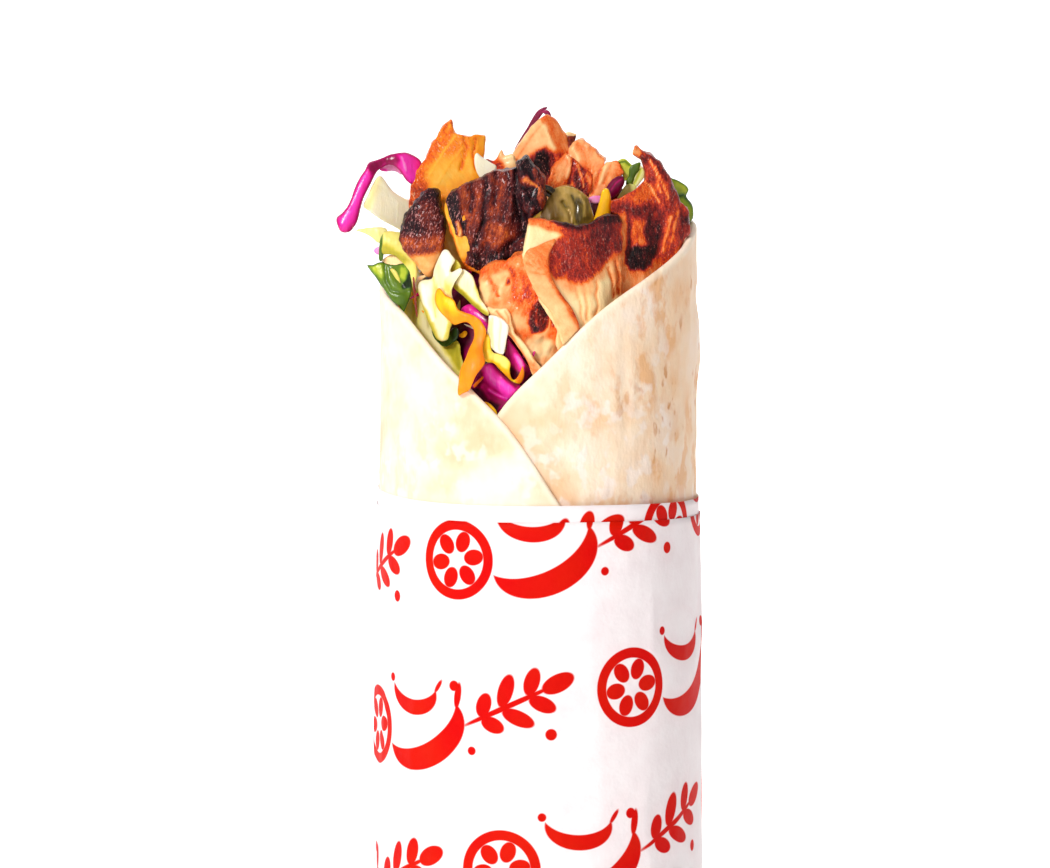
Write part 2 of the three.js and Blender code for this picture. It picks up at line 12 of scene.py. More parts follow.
import bmesh
import bpy
import numpy as np
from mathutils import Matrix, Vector


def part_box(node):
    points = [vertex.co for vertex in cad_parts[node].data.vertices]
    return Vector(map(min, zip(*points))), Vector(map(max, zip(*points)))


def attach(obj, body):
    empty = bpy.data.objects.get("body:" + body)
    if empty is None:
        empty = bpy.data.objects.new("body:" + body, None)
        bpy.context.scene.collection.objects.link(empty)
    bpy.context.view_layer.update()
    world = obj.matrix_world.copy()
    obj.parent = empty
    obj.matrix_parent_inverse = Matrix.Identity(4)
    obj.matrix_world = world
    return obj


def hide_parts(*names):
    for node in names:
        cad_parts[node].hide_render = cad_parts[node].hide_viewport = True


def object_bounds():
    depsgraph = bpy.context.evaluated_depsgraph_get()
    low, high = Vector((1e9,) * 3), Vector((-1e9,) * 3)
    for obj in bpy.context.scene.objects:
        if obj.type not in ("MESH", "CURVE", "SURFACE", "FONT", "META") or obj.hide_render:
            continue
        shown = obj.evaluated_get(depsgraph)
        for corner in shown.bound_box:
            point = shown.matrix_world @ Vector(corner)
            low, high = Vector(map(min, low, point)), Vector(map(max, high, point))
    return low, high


MM = 0.001
FULL_TURN = 360.0

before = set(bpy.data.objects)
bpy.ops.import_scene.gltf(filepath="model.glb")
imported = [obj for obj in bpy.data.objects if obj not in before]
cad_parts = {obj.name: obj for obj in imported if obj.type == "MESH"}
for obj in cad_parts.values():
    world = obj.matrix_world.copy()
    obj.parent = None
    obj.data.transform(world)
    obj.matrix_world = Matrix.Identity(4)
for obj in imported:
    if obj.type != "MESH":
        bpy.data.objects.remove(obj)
cad_bounds = [list(corner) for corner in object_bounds()]


# ---- Small maths ----
def smooth(low, high, value):
    """0 below low, 1 above high, and an even slope between them."""
    share = np.clip((value - low) / (high - low), 0.0, 1.0)
    return share * share * (3.0 - 2.0 * share)


def through(pairs, at):
    """The values at `at` of a smooth curve through (where, value) pairs, level past both ends."""
    where, value = np.array(pairs, float).T
    at = np.clip(at, where[0], where[-1])
    i = np.clip(np.searchsorted(where, at, side="right") - 1, 0, len(where) - 2)
    before = np.maximum(np.arange(len(where)) - 1, 0)
    after = np.minimum(np.arange(len(where)) + 1, len(where) - 1)
    slope = (value[after] - value[before]) / (where[after] - where[before])
    span = where[i + 1] - where[i]
    t = (at - where[i]) / span
    u = 1.0 - t
    ends = value[i] * u * u * (1 + 2 * t) + value[i + 1] * t * t * (1 + 2 * u)
    return ends + span * t * u * (slope[i] * u - slope[i + 1] * t)


def curve_through(keys, count, closed=False):
    """Points spread evenly on a smooth curve through the keys, with all the columns they carry."""
    keys = np.array(keys, float)
    if closed:
        keys = np.vstack([keys[-1:], keys, keys[:2]])
    else:
        keys = np.vstack([2 * keys[0] - keys[1], keys, 2 * keys[-1] - keys[-2]])
    spans = len(keys) - 3
    at = np.linspace(0, spans, 60 * spans + 1)
    i = np.minimum(at.astype(int), spans - 1)
    t = (at - i)[:, None]
    a, b, c, d = (keys[i + k] for k in range(4))
    fine = b + 0.5 * t * (c - a + t * (2 * a - 5 * b + 4 * c - d + t * (3 * (b - c) + d - a)))
    run = np.concatenate([[0], np.cumsum(np.linalg.norm(np.diff(fine[:, :3], axis=0), axis=1))])
    wanted = np.linspace(0, run[-1], count + 1)
    spread = np.stack([np.interp(wanted, run, column) for column in fine.T], axis=1)
    return spread[:-1] if closed else spread


def lattice(cells, seed):
    """A fixed random number from -1 to 1 for each whole-numbered corner."""
    x, y, z = (cells[..., k].astype(np.int64) for k in range(3))
    mixed = (x * 374761393 + y * 668265263 + z * 1440662683 + seed * 974634777) & 0xFFFFFFFF
    mixed = ((mixed ^ (mixed >> 13)) * 1274126177) & 0xFFFFFFFF
    return ((mixed ^ (mixed >> 16)) & 0xFFFF) / 32767.5 - 1.0


def cloud(points, size, seed=0):
    """Smooth noise from -1 to 1 with lumps `size` across, one size or one for each axis."""
    where = points / np.array(size, float)
    base = np.floor(where)
    share = where - base
    share = share * share * (3 - 2 * share)
    total = 0.0
    for corner in itertools.product((0, 1), repeat=3):
        weight = np.prod(np.where(corner, share, 1 - share), axis=-1)
        total = total + weight * lattice(base + corner, seed)
    return total


def rough(points, size, seed=0, layers=3):
    """Noise with finer lumps on its lumps."""
    total = sum(cloud(points * 2.0**k, size, seed + k) / 2.0**k for k in range(layers))
    return total / 1.4


def polar(turn, radius, z):
    """Points `radius` from the axis, `turn` degrees round from the front towards the right."""
    a = np.radians(turn)
    return np.stack(np.broadcast_arrays(radius * np.sin(a), -radius * np.cos(a), z), axis=-1)


# ---- Meshes ----
def normals_of(points, faces):
    """The way the surface looks at each point."""
    a, b, c, d = (points[faces[:, k]] for k in range(4))
    looks = np.cross(c - a, d - b)
    total = np.zeros_like(points)
    for k, axis in itertools.product(range(4), range(3)):
        total[:, axis] += np.bincount(faces[:, k], looks[:, axis], len(points))
    return total / np.maximum(np.linalg.norm(total, axis=1, keepdims=True), 1e-9)


def eased(points, faces, times):
    """Points drawn towards the middle of their neighbours, which rounds a mesh off."""
    edges = np.vstack([faces[:, [k, (k + 1) % 4]] for k in range(4)])
    count = np.maximum(np.bincount(edges.ravel(), minlength=len(points)), 1)[:, None]
    for _ in range(times):
        total = np.zeros_like(points)
        for axis, (a, b) in itertools.product(range(3), ((0, 1), (1, 0))):
            total[:, axis] += np.bincount(edges[:, a], points[edges[:, b], axis], len(points))
        points = 0.35 * points + 0.65 * total / count
    return points


def remeshed(bm, voxel, times):
    """Even points and four-sided faces over a closed shape, rounded off."""
    mesh = bpy.data.meshes.new("shape")
    bm.to_mesh(mesh)
    bm.free()
    holder = bpy.data.objects.new("shape", mesh)
    bpy.context.scene.collection.objects.link(holder)
    remesh = holder.modifiers.new("even", "REMESH")
    remesh.mode = "VOXEL"
    remesh.voxel_size = voxel
    depsgraph = bpy.context.evaluated_depsgraph_get()
    even = bpy.data.meshes.new_from_object(holder.evaluated_get(depsgraph))
    points = np.zeros(3 * len(even.vertices))
    even.vertices.foreach_get("co", points)
    faces = np.zeros(len(even.loops), np.int64)
    even.loops.foreach_get("vertex_index", faces)
    bpy.data.objects.remove(holder)
    bpy.data.meshes.remove(mesh)
    bpy.data.meshes.remove(even)
    points, faces = points.reshape(-1, 3), faces.reshape(-1, 4)
    return eased(points, faces, times), faces


def make_piece(name, points, faces, slot, node, marks, sheet=None):
    """A smooth mesh that stands for a solid, with numbers for each of its points as marks."""
    mesh = bpy.data.meshes.new(name)
    mesh.vertices.add(len(points))
    mesh.vertices.foreach_set("co", (points * MM).ravel())
    mesh.loops.add(faces.size)
    mesh.loops.foreach_set("vertex_index", faces.ravel())
    mesh.polygons.add(len(faces))
    mesh.polygons.foreach_set("loop_start", np.arange(0, faces.size, 4))
    mesh.update(calc_edges=True)
    mesh.validate()
    mesh.shade_smooth()
    for mark, values in marks.items():
        kind, key = ("FLOAT", "value") if values.ndim == 1 else ("FLOAT_VECTOR", "vector")
        layer = mesh.attributes.new(mark, kind, "POINT")
        layer.data.foreach_set(key, values.astype(np.float32).ravel())
    if sheet is not None:
        flat = mesh.uv_layers.new(name="sheet")
        flat.data.foreach_set("uv", sheet[faces.ravel()].astype(np.float32).ravel())
    mesh.materials.append(finishes[slot])
    piece = bpy.data.objects.new(name, mesh)
    bpy.context.scene.collection.objects.link(piece)
    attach(piece, "root")
    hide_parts(node)
    return piece


def grid_faces(rows, columns, closed=False, first=0):
    """Faces over a grid of points in rows, the last column joined to the first if closed."""
    r, c = np.meshgrid(
        np.arange(rows - 1), np.arange(columns - (0 if closed else 1)), indexing="ij"
    )
    here, beside = r * columns + c, r * columns + (c + 1) % columns
    return first + np.stack([here, beside, beside + columns, here + columns], axis=-1).reshape(-1, 4)


def closed_sheet(outer, inner):
    """Points and faces of a thin sheet between two grids, its four edges closed."""
    rows, columns = outer.shape[:2]
    rim = np.concatenate([outer, inner[:, ::-1]], axis=1)
    faces = grid_faces(rows, 2 * columns, closed=True)
    ends = []
    for row, turned in ((0, False), (rows - 1, True)):
        near = row * 2 * columns + np.arange(columns)
        far = row * 2 * columns + 2 * columns - 1 - np.arange(columns)
        strip = np.stack([near[:-1], far[:-1], far[1:], near[1:]], axis=-1)
        ends.append(strip[:, ::-1] if turned else strip)
    return rim.reshape(-1, 3), np.vstack([faces, *ends])


# ---- Places ----
def corners(node):
    """The lowest and highest corner of a solid, in millimetres."""
    low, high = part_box(node)
    return np.array(low) / MM, np.array(high) / MM


def in_box(node, u, w):
    """x and z at the shares u and w of a solid's width and height."""
    low, high = corners(node)
    return low[0] + u * (high[0] - low[0]), low[2] + w * (high[2] - low[2])


def lie_of(node):
    """How far back a solid lies at each x and z: the bent plane that runs nearest through it."""
    points = np.array([v.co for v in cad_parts[node].data.vertices]) / MM
    middle = points.mean(axis=0)

    def terms(x, z):
        x, z = x - middle[0], z - middle[2]
        return np.stack([np.ones_like(x), x, z, x * x, x * z, z * z], axis=-1)

    fit = np.linalg.lstsq(terms(points[:, 0], points[:, 2]), points[:, 1], rcond=None)[0]
    return lambda x, z: terms(np.asarray(x, float), np.asarray(z, float)) @ fit


def inside(u, w, corners_of_area, soft):
    """1 inside an area of a slice, 0 outside it, with an edge `soft` wide."""
    nearest = np.full(u.shape, 1e9)
    crossings = np.zeros(u.shape, int)
    for (au, aw), (bu, bw) in zip(corners_of_area, corners_of_area[1:] + corners_of_area[:1]):
        du, dw = bu - au, bw - aw
        along = np.clip(((u - au) * du + (w - aw) * dw) / (du * du + dw * dw), 0, 1)
        nearest = np.minimum(nearest, np.hypot(u - au - along * du, w - aw - along * dw))
        crossings += ((aw > w) != (bw > w)) & (u < au + du * (w - aw) / (dw if dw else 1e-9))
    return smooth(-soft, soft, np.where(crossings % 2, nearest, -nearest))


def toned(points, node, base, areas, drift=0.1, seed=0):
    """How far each point is along its finish's range of colours: a base tone, then areas over it.

    An area is (tone, soft, corners), all in shares of the node's box seen from the front."""
    low, high = corners(node)
    x = points + 0.5 * np.stack([rough(points, 2.4, seed + 40 + k) for k in range(3)], axis=1)
    u = (x[:, 0] - low[0]) / (high[0] - low[0])
    w = (x[:, 2] - low[2]) / (high[2] - low[2])
    tone = np.full(len(points), float(base)) + drift * rough(points, 5.0, seed + 50)
    for value, soft, area in areas:
        share = inside(u, w, area, soft)
        tone += share * (value + 0.6 * drift * rough(points, 2.2, seed + 60) - tone)
    return tone


# ---- Finishes ----
def colour(red, green, blue):
    """A colour from 0 to 255, as the shader wants it."""
    linear = [
        v / 12.92 if v <= 0.04045 else ((v + 0.055) / 1.055) ** 2.4
        for v in (c / 255.0 for c in (red, green, blue))
    ]
    return (*linear, 1.0)


class Finish:
    """A material and short ways to add the nodes that drive its shader."""

    def __init__(self, name, **fixed):
        self.material = bpy.data.materials.new(name)
        self.material.use_nodes = True
        self.tree = self.material.node_tree
        self.shader = self.tree.nodes["Principled BSDF"]
        for socket, value in fixed.items():
            self.shader.inputs[socket.replace("_", " ")].default_value = value

    def feed(self, socket, value):
        if isinstance(value, Field):
            value = value.socket
        if isinstance(value, bpy.types.NodeSocket):
            self.tree.links.new(value, socket)
        elif value is not None:
            socket.default_value = value

    def node(self, kind, *inputs, **options):
        made = self.tree.nodes.new("ShaderNode" + kind)
        for option, value in options.items():
            setattr(made, option, value)
        for socket, value in zip(made.inputs, inputs):
            self.feed(socket, value)
        return made

    def drive(self, socket, value):
        self.feed(self.shader.inputs[socket], value)

    def mark(self, name):
        return Field(self, self.node("Attribute", attribute_name=name).outputs["Fac"])

    def lumps(self, size, detail=2.0, stretch=None, mark=None):
        """Noise from 0 to 1 with lumps `size` millimetres across."""
        if mark:
            where, scale = self.node("Attribute", attribute_name=mark).outputs["Vector"], 1 / size
        else:
            where, scale = self.node("TexCoord").outputs["Object"], 1 / (size * MM)
        if stretch:
            mapping = self.node("Mapping", where)
            mapping.inputs["Scale"].default_value = stretch
            where = mapping.outputs[0]
        return Field(self, self.node("TexNoise", where, None, scale, detail, 0.55).outputs[0])

    def ramp(self, share, stops):
        """Colours along a share from 0 to 1, at stops of place in percent, red, green, blue."""
        made = self.node("ValToRGB", share)
        elements = made.color_ramp.elements
        stops = [[int(number) for number in stop.split()] for stop in stops.split(",")]
        while len(elements) < len(stops):
            elements.new(0.5)
        for element, (place, *shade) in zip(elements, stops):
            element.position = place / 100
            element.color = colour(*shade)
        return made.outputs["Color"]

    def mix(self, share, first, second):
        made = self.node("Mix", data_type="RGBA")
        self.feed(made.inputs[0], share)
        self.feed(made.inputs[6], first)
        self.feed(made.inputs[7], second)
        return made.outputs[2]

    def relief(self, *layers):
        """Bumps on bumps: each layer is (height field, height in millimetres)."""
        normal = None
        for height, tall in layers:
            made = self.node("Bump")
            self.feed(made.inputs["Height"], height)
            made.inputs["Distance"].default_value = tall * MM
            if normal:
                self.tree.links.new(normal, made.inputs["Normal"])
            normal = made.outputs[0]
        self.drive("Normal", normal)


class Field:
    """A number that varies over a surface, worked out with Math nodes and written as sums."""

    def __init__(self, finish, socket):
        self.finish = finish
        self.socket = socket

    def math(self, operation, *others):
        made = self.finish.node("Math", self, *others, operation=operation)
        return Field(self.finish, made.outputs[0])

    __add__ = partialmethod(math, "ADD")
    __sub__ = partialmethod(math, "SUBTRACT")
    __mul__ = partialmethod(math, "MULTIPLY")
    __truediv__ = partialmethod(math, "DIVIDE")
    least = partialmethod(math, "MINIMUM")
    most = partialmethod(math, "MAXIMUM")

    def step(self, low, high):
        """0 below low and 1 above high."""
        made = self.finish.node("MapRange", self, low, high)
        made.interpolation_type = "SMOOTHSTEP"
        return Field(self.finish, made.outputs[0])


# Colour stops, each a place in percent along the range of tones and its red, green and blue.
ROASTED = (
    "0 255 228 172, 12 254 208 146, 22 250 178 116, 33 242 134 66, 45 232 92 22, "
    "56 190 54 34, 68 136 34 28, 80 86 18 22, 90 48 10 14, 100 16 5 8"
)
CHARRED = (
    "0 255 222 170, 20 246 186 112, 34 234 140 58, 46 206 100 44, 57 164 66 34, "
    "68 118 40 28, 80 76 20 24, 90 42 12 20, 100 18 6 12"
)
GLAZED = (
    "0 255 212 96, 20 255 174 46, 35 252 140 20, 50 236 100 6, 65 196 60 6, 80 110 34 14, "
    "100 30 12 10"
)
CABBAGE = "0 254 249 232, 25 250 238 190, 55 232 212 104, 80 188 176 44, 100 88 96 20"
LETTUCE = "0 252 244 206, 30 238 224 124, 65 198 184 50, 100 108 112 18"
RED_CABBAGE = "0 243 196 226, 25 250 60 190, 50 214 10 128, 75 134 4 66, 100 42 2 22"
CARROT = "0 255 240 120, 30 255 206 20, 60 255 150 4, 100 226 84 4"
LEAF = "0 236 240 170, 25 196 206 60, 50 120 150 32, 80 52 88 22, 100 16 26 8"
PICKLE = "0 250 222 160, 30 198 164 88, 60 140 116 44, 85 70 58 22, 100 24 14 6"
PEPPER = "0 255 226 40, 100 250 168 6"


def roasted_finish(name, stops, gloss=0.36, wet=0.15, glints=0.5, fat=(232, 150, 132)):
    """Roast chicken: fibres along the grain, darker where it caught, wet with grease and sauce, and speckled
    with pale painted highlights, glints of light on the wet flesh.
    """
    finish = Finish(
        name,
        Roughness=gloss,
        Specular_IOR_Level=0.15,
        Subsurface_Weight=0.06,
        Subsurface_Radius=(1.0, 0.45, 0.25),
        Subsurface_Scale=0.0008,
        Coat_Weight=wet,
        Coat_Roughness=0.1,
    )
    fibres = finish.lumps(0.6, 3.0, stretch=(1.0, 1.0, 0.3), mark="grain")
    specks = finish.lumps(0.42)
    blotches = finish.lumps(2.2, 3.0)
    tone = finish.mark("tone")
    seared = tone.step(0.22, 0.5)
    varied = tone + (fibres - 0.5) * (seared * 0.46 + 0.06) + (specks - 0.5) * (seared * 0.26 + 0.04)
    flesh = finish.ramp(varied + (blotches - 0.5) * 0.26, stops)
    # Pale specks along the grain, thicker in patches and in the marked wet areas, are painted highlights:
    # glints of light mixed into the colour.
    droplets = finish.lumps(0.3, stretch=(1.0, 1.0, 0.45), mark="grain")
    wetter = finish.mark("wetter")
    fatty = (finish.lumps(3.4).step(0.4, 0.58)).most(wetter)
    pooled = finish.lumps(1.3).step(0.4, 0.62) * wetter
    shine = (droplets + pooled * 0.08).step(0.59, 0.7) * tone.step(0.2, 0.5) * fatty * glints
    finish.drive("Base Color", finish.mix(shine, flesh, colour(*fat)))
    crusty = seared * 0.8 + 0.2
    raised = (fibres - 0.5) * crusty
    pitted = (specks - 0.5) * crusty
    finish.relief((raised, 0.4), (pitted, 0.3), (finish.lumps(0.25) * crusty, 0.12))
    return finish.material


def plant_finish(name, stops, gloss=0.3, veins=0.12, wet=0.15, glow=0.2):
    """Cut vegetable: a thin wet skin over pale flesh, with faint veins along the piece."""
    finish = Finish(
        name,
        Roughness=gloss,
        Specular_IOR_Level=0.25,
        Subsurface_Weight=glow,
        Subsurface_Radius=(1.0, 0.8, 0.5),
        Subsurface_Scale=0.0015,
        Coat_Weight=wet,
        Coat_Roughness=0.12,
    )
    lines = finish.lumps(0.8, stretch=(1.0, 1.0, 0.12), mark="grain")
    patches = finish.lumps(2.6)
    tone = finish.mark("tone") + (lines - 0.5) * veins + (patches - 0.5) * veins
    finish.drive("Base Color", finish.ramp(tone, stops))
    finish.relief((lines, 0.12), (finish.lumps(0.5), 0.05))
    return finish.material


def bread_finish():
    """Soft wheat flatbread: floury cream with tan mottles and a few browner griddle spots, with tan painted
    shade toward its sides and beside the left flap's edge, and a painted highlight along its cut edge.
    """
    finish = Finish(
        "soft_flatbread",
        Roughness=0.62,
        Subsurface_Weight=0.15,
        Subsurface_Radius=(1.0, 0.7, 0.45),
        Subsurface_Scale=0.002,
        Sheen_Weight=0.1,
    )
    tall = (1.0, 1.0, 0.6)
    cream = finish.ramp(
        finish.lumps(13.0, 3.0),
        "30 255 244 230, 50 254 235 208, 68 246 208 166",
    )
    # The side mark is a tan painted shade toward the right side and on the left flap's end; mottles and
    # griddle spots also gather there.
    griddled = finish.mark("griddled")
    floury = finish.lumps(4.0).step(0.5, 0.62) * finish.lumps(19.0, 1.0).step(0.46, 0.6)
    mottles = finish.lumps(5.0, 4.0, stretch=tall).step(0.48, 0.66) * finish.lumps(22.0, 1.0).step(0.36, 0.6)
    spots = finish.lumps(2.6, stretch=tall).step(0.58, 0.68) * finish.lumps(15.0, 1.0).step(0.46, 0.58)
    # Tan comes from the mottles, from the painted side shade, and from a tan painted shadow beside the left
    # flap's edge.
    warm = mottles * (griddled * 0.65 + 0.4) + griddled * 0.34 + finish.mark("beside").step(0.0, 1.0) * 0.5
    toasted = finish.mix(warm.least(0.9), cream, colour(236, 182, 126))
    paler = finish.mix(floury * 0.55, toasted, colour(255, 243, 236))
    browned = finish.mix(spots * griddled * 0.9, paler, colour(212, 146, 80))
    # A paler band along the cut edge is a painted highlight, where the rounded edge catches the light.
    rim = finish.mark("to_edge").step(1.8, 0.5) * 0.6
    finish.drive("Base Color", finish.mix(rim, browned, colour(255, 244, 222)))
    finish.relief((finish.lumps(4.4, 3.0, stretch=tall), 0.6), (finish.lumps(0.6, 3.0), 0.05))
    return finish.material


# ---- The printed paper ----
PRINT_SLANT = 9.0  # degrees by which the rows of the print climb to the right
PRINT_PITCH = 67.0  # from one motif to the next along a row
PRINT_ROW = 32.0  # from one row to the next; every second row is shifted by half a pitch
PRINT_START = (4.0, 120.4)  # round the paper from the front, and up, to the first motif
EDGE_OF_INK = 0.12


def oval(p, q, centre, radii, turn=0.0):
    """How far outside an oval, in millimetres; less than 0 inside it."""
    a = math.radians(turn)
    x, y = p - centre[0], q - centre[1]
    along = (x * math.cos(a) + y * math.sin(a)) / radii[0]
    across = (y * math.cos(a) - x * math.sin(a)) / radii[1]
    return ((along * along + across * across).math("SQRT") - 1.0) * min(radii)


def tomato_slice(p, q, centre, radius):
    """A ring with six seed pockets round its middle."""
    x, y = p - centre[0], q - centre[1]
    out = (x * x + y * y).math("SQRT")
    ring = (out - radius * 0.87).math("ABSOLUTE") - radius * 0.13
    sector = math.pi / 3
    angle = y.math("ARCTAN2", x)
    folded = angle - (angle / sector).math("ROUND") * sector
    pocket = oval(out * folded.math("COSINE"), out * folded.math("SINE"),
                  (radius * 0.48, 0.0), (radius * 0.27, radius * 0.2))
    return ring.least(pocket)


def chilli(p, q, centre, size, turn):
    """A crescent with a stalk."""
    a = math.radians(turn)
    x = (p - centre[0]) * (math.cos(a) / size) + (q - centre[1]) * (math.sin(a) / size)
    y = (q - centre[1]) * (math.cos(a) / size) - (p - centre[0]) * (math.sin(a) / size)
    belly = oval(x, y, (0.0, 1.6), (10.0, 6.6))
    hollow = oval(x, y, (-0.8, 6.0), (10.8, 6.6))
    stalk = oval(x, y, (10.3, 5.0), (2.4, 0.7), 60.0)
    return (belly.most(hollow * -1.0)).least(stalk) * size


def herb_sprig(p, q, centre, turn):
    """A stem with pairs of leaves and one at its tip."""
    a = math.radians(turn)
    x = (p - centre[0]) * math.cos(a) + (q - centre[1]) * math.sin(a)
    y = (q - centre[1]) * math.cos(a) - (p - centre[0]) * math.sin(a)
    shape = oval(x, y, (0.0, 0.0), (11.0, 0.6)).least(oval(x, y, (11.5, 0.0), (3.6, 1.9)))
    side = y.math("ABSOLUTE")
    for along, reach in ((-6.0, 2.6), (-0.5, 3.6), (5.2, 3.0)):
        leaf = oval(x, side, (along + 1.6, reach * 0.85), (reach, 1.6), 48.0)
        shape = shape.least(leaf)
    return shape


def kitchen_motif(p, q):
    """One motif of the print: a tomato slice, two chillies and a sprig, with dots between."""
    shape = tomato_slice(p, q, (-22.0, -0.5), 8.2)
    shape = shape.least(chilli(p, q, (-2.5, -4.5), 1.15, 14.0))
    shape = shape.least(chilli(p, q, (-5.0, 4.5), 0.72, -14.0))
    shape = shape.least(herb_sprig(p, q, (18.0, 0.5), 16.0))
    for dot, radius in (((7.0, 6.0), 1.1), ((9.0, -7.6), 0.9), ((26.0, -6.5), 1.2), ((-12.0, 9.0), 0.9)):
        shape = shape.least(oval(p, q, dot, (radius, radius)))
    return shape


def paper_finish():
    """White greaseproof paper printed in red, in slanting rows like laid bricks."""
    finish = Finish(
        "printed_paper",
        Roughness=0.55,
        Specular_IOR_Level=0.08,
        Subsurface_Weight=0.03,
        Subsurface_Radius=(1.0, 0.9, 0.9),
        Subsurface_Scale=0.001,
    )
    flat = finish.node("UVMap", uv_map="sheet").outputs[0]
    split = finish.node("SeparateXYZ", flat)
    x = Field(finish, split.outputs[0]) - PRINT_START[0]
    y = Field(finish, split.outputs[1]) - PRINT_START[1]
    a = math.radians(PRINT_SLANT)
    p = x * math.cos(a) + y * math.sin(a)
    q = y * math.cos(a) - x * math.sin(a)
    row = (q / PRINT_ROW).math("ROUND")
    p = p - row * (PRINT_PITCH / 2)
    p = p - (p / PRINT_PITCH).math("ROUND") * PRINT_PITCH
    distance = kitchen_motif(p, q - row * PRINT_ROW)
    ink = (distance * -1.0).step(-EDGE_OF_INK, EDGE_OF_INK)
    bleed = (distance * -1.0).step(-3.0, 0.5) * 0.06
    fibre = finish.lumps(7.0, 3.0)
    sheet = finish.ramp(fibre, "30 253 249 250, 70 246 238 240")
    tinted = finish.mix(bleed, sheet, colour(250, 150, 160))
    red = finish.ramp(finish.lumps(14.0), "35 214 0 0, 65 216 22 0")
    finish.drive("Base Color", finish.mix(ink, tinted, red))
    finish.relief((finish.lumps(6.0, 3.0), 0.35), (finish.lumps(0.7), 0.03))
    return finish.material


finishes = {
    "roast_meat": roasted_finish("roast_chicken", ROASTED),
    "charred_meat": roasted_finish("charred_chicken", CHARRED, gloss=0.3, glints=0.8, fat=(214, 150, 146)),
    "glazed_meat": roasted_finish("glazed_chicken", GLAZED, gloss=0.28, wet=0.3, fat=(255, 226, 176)),
    "carrot": plant_finish("carrot_flesh", CARROT, gloss=0.5, veins=0.16, wet=0.05),
    "white_cabbage": plant_finish("white_cabbage_flesh", CABBAGE, glow=0.3),
    "lettuce": plant_finish("lettuce_leaf", LETTUCE, veins=0.2),
    "red_cabbage": plant_finish("red_cabbage_leaf", RED_CABBAGE, gloss=0.28, veins=0.16, wet=0.2, glow=0.08),
    "green_leaf": plant_finish("green_leaf_skin", LEAF, veins=0.16),
    "cucumber": plant_finish("cucumber_flesh", LEAF, gloss=0.24),
    "pickled_pepper": plant_finish("pickled_pepper_skin", PICKLE, gloss=0.2, veins=0.4, wet=0.45),
    "yellow_pepper": plant_finish("yellow_pepper_flesh", PEPPER, gloss=0.24),
    "flatbread": bread_finish(),
    "paper": paper_finish(),
}


# ---- Bread ----
BREAD_THICK = 1.5
BREAD_PITCH = 1.65
BREAD_INSIDE = 30.5
BREAD_FOOT = 1.8
BREAD_FULLER = 0.7  # how much further out the roll goes on its right side
BREAD_COLUMNS = 330
BREAD_ROWS = 124
# Turn round the roll and height of the bread's edge, as its solid has them: it starts under
# the left flap, crosses the front as the right flap, goes round the back and comes down again.
BREAD_EDGE = [
    (-62, 104), (-16, 145.6), (4, 157.3), (24, 167), (45, 173.8), (66, 179.3), (84, 183.5),
    (150, 185), (220, 177), (270, 170.5), (299, 166.6), (312, 162.4), (326, 156), (340, 149),
    (350, 143), (363, 132), (374, 120), (398, 70),
]


def bread_inside(turn, z):
    """Inside radius of the roll, with its soft dents above the paper."""
    a = np.radians(turn)
    swell = 0.35 * np.sin(3 * a + z / 17) + 0.25 * np.sin(5 * a - z / 11)
    above = np.clip(2 * (z - PAPER_TOP) / 55.0, 0.0, 1.0)
    fuller = BREAD_FULLER * np.clip(np.sin(a), 0, 1) ** 2
    return BREAD_INSIDE + BREAD_PITCH * turn / FULL_TURN + fuller + swell * above


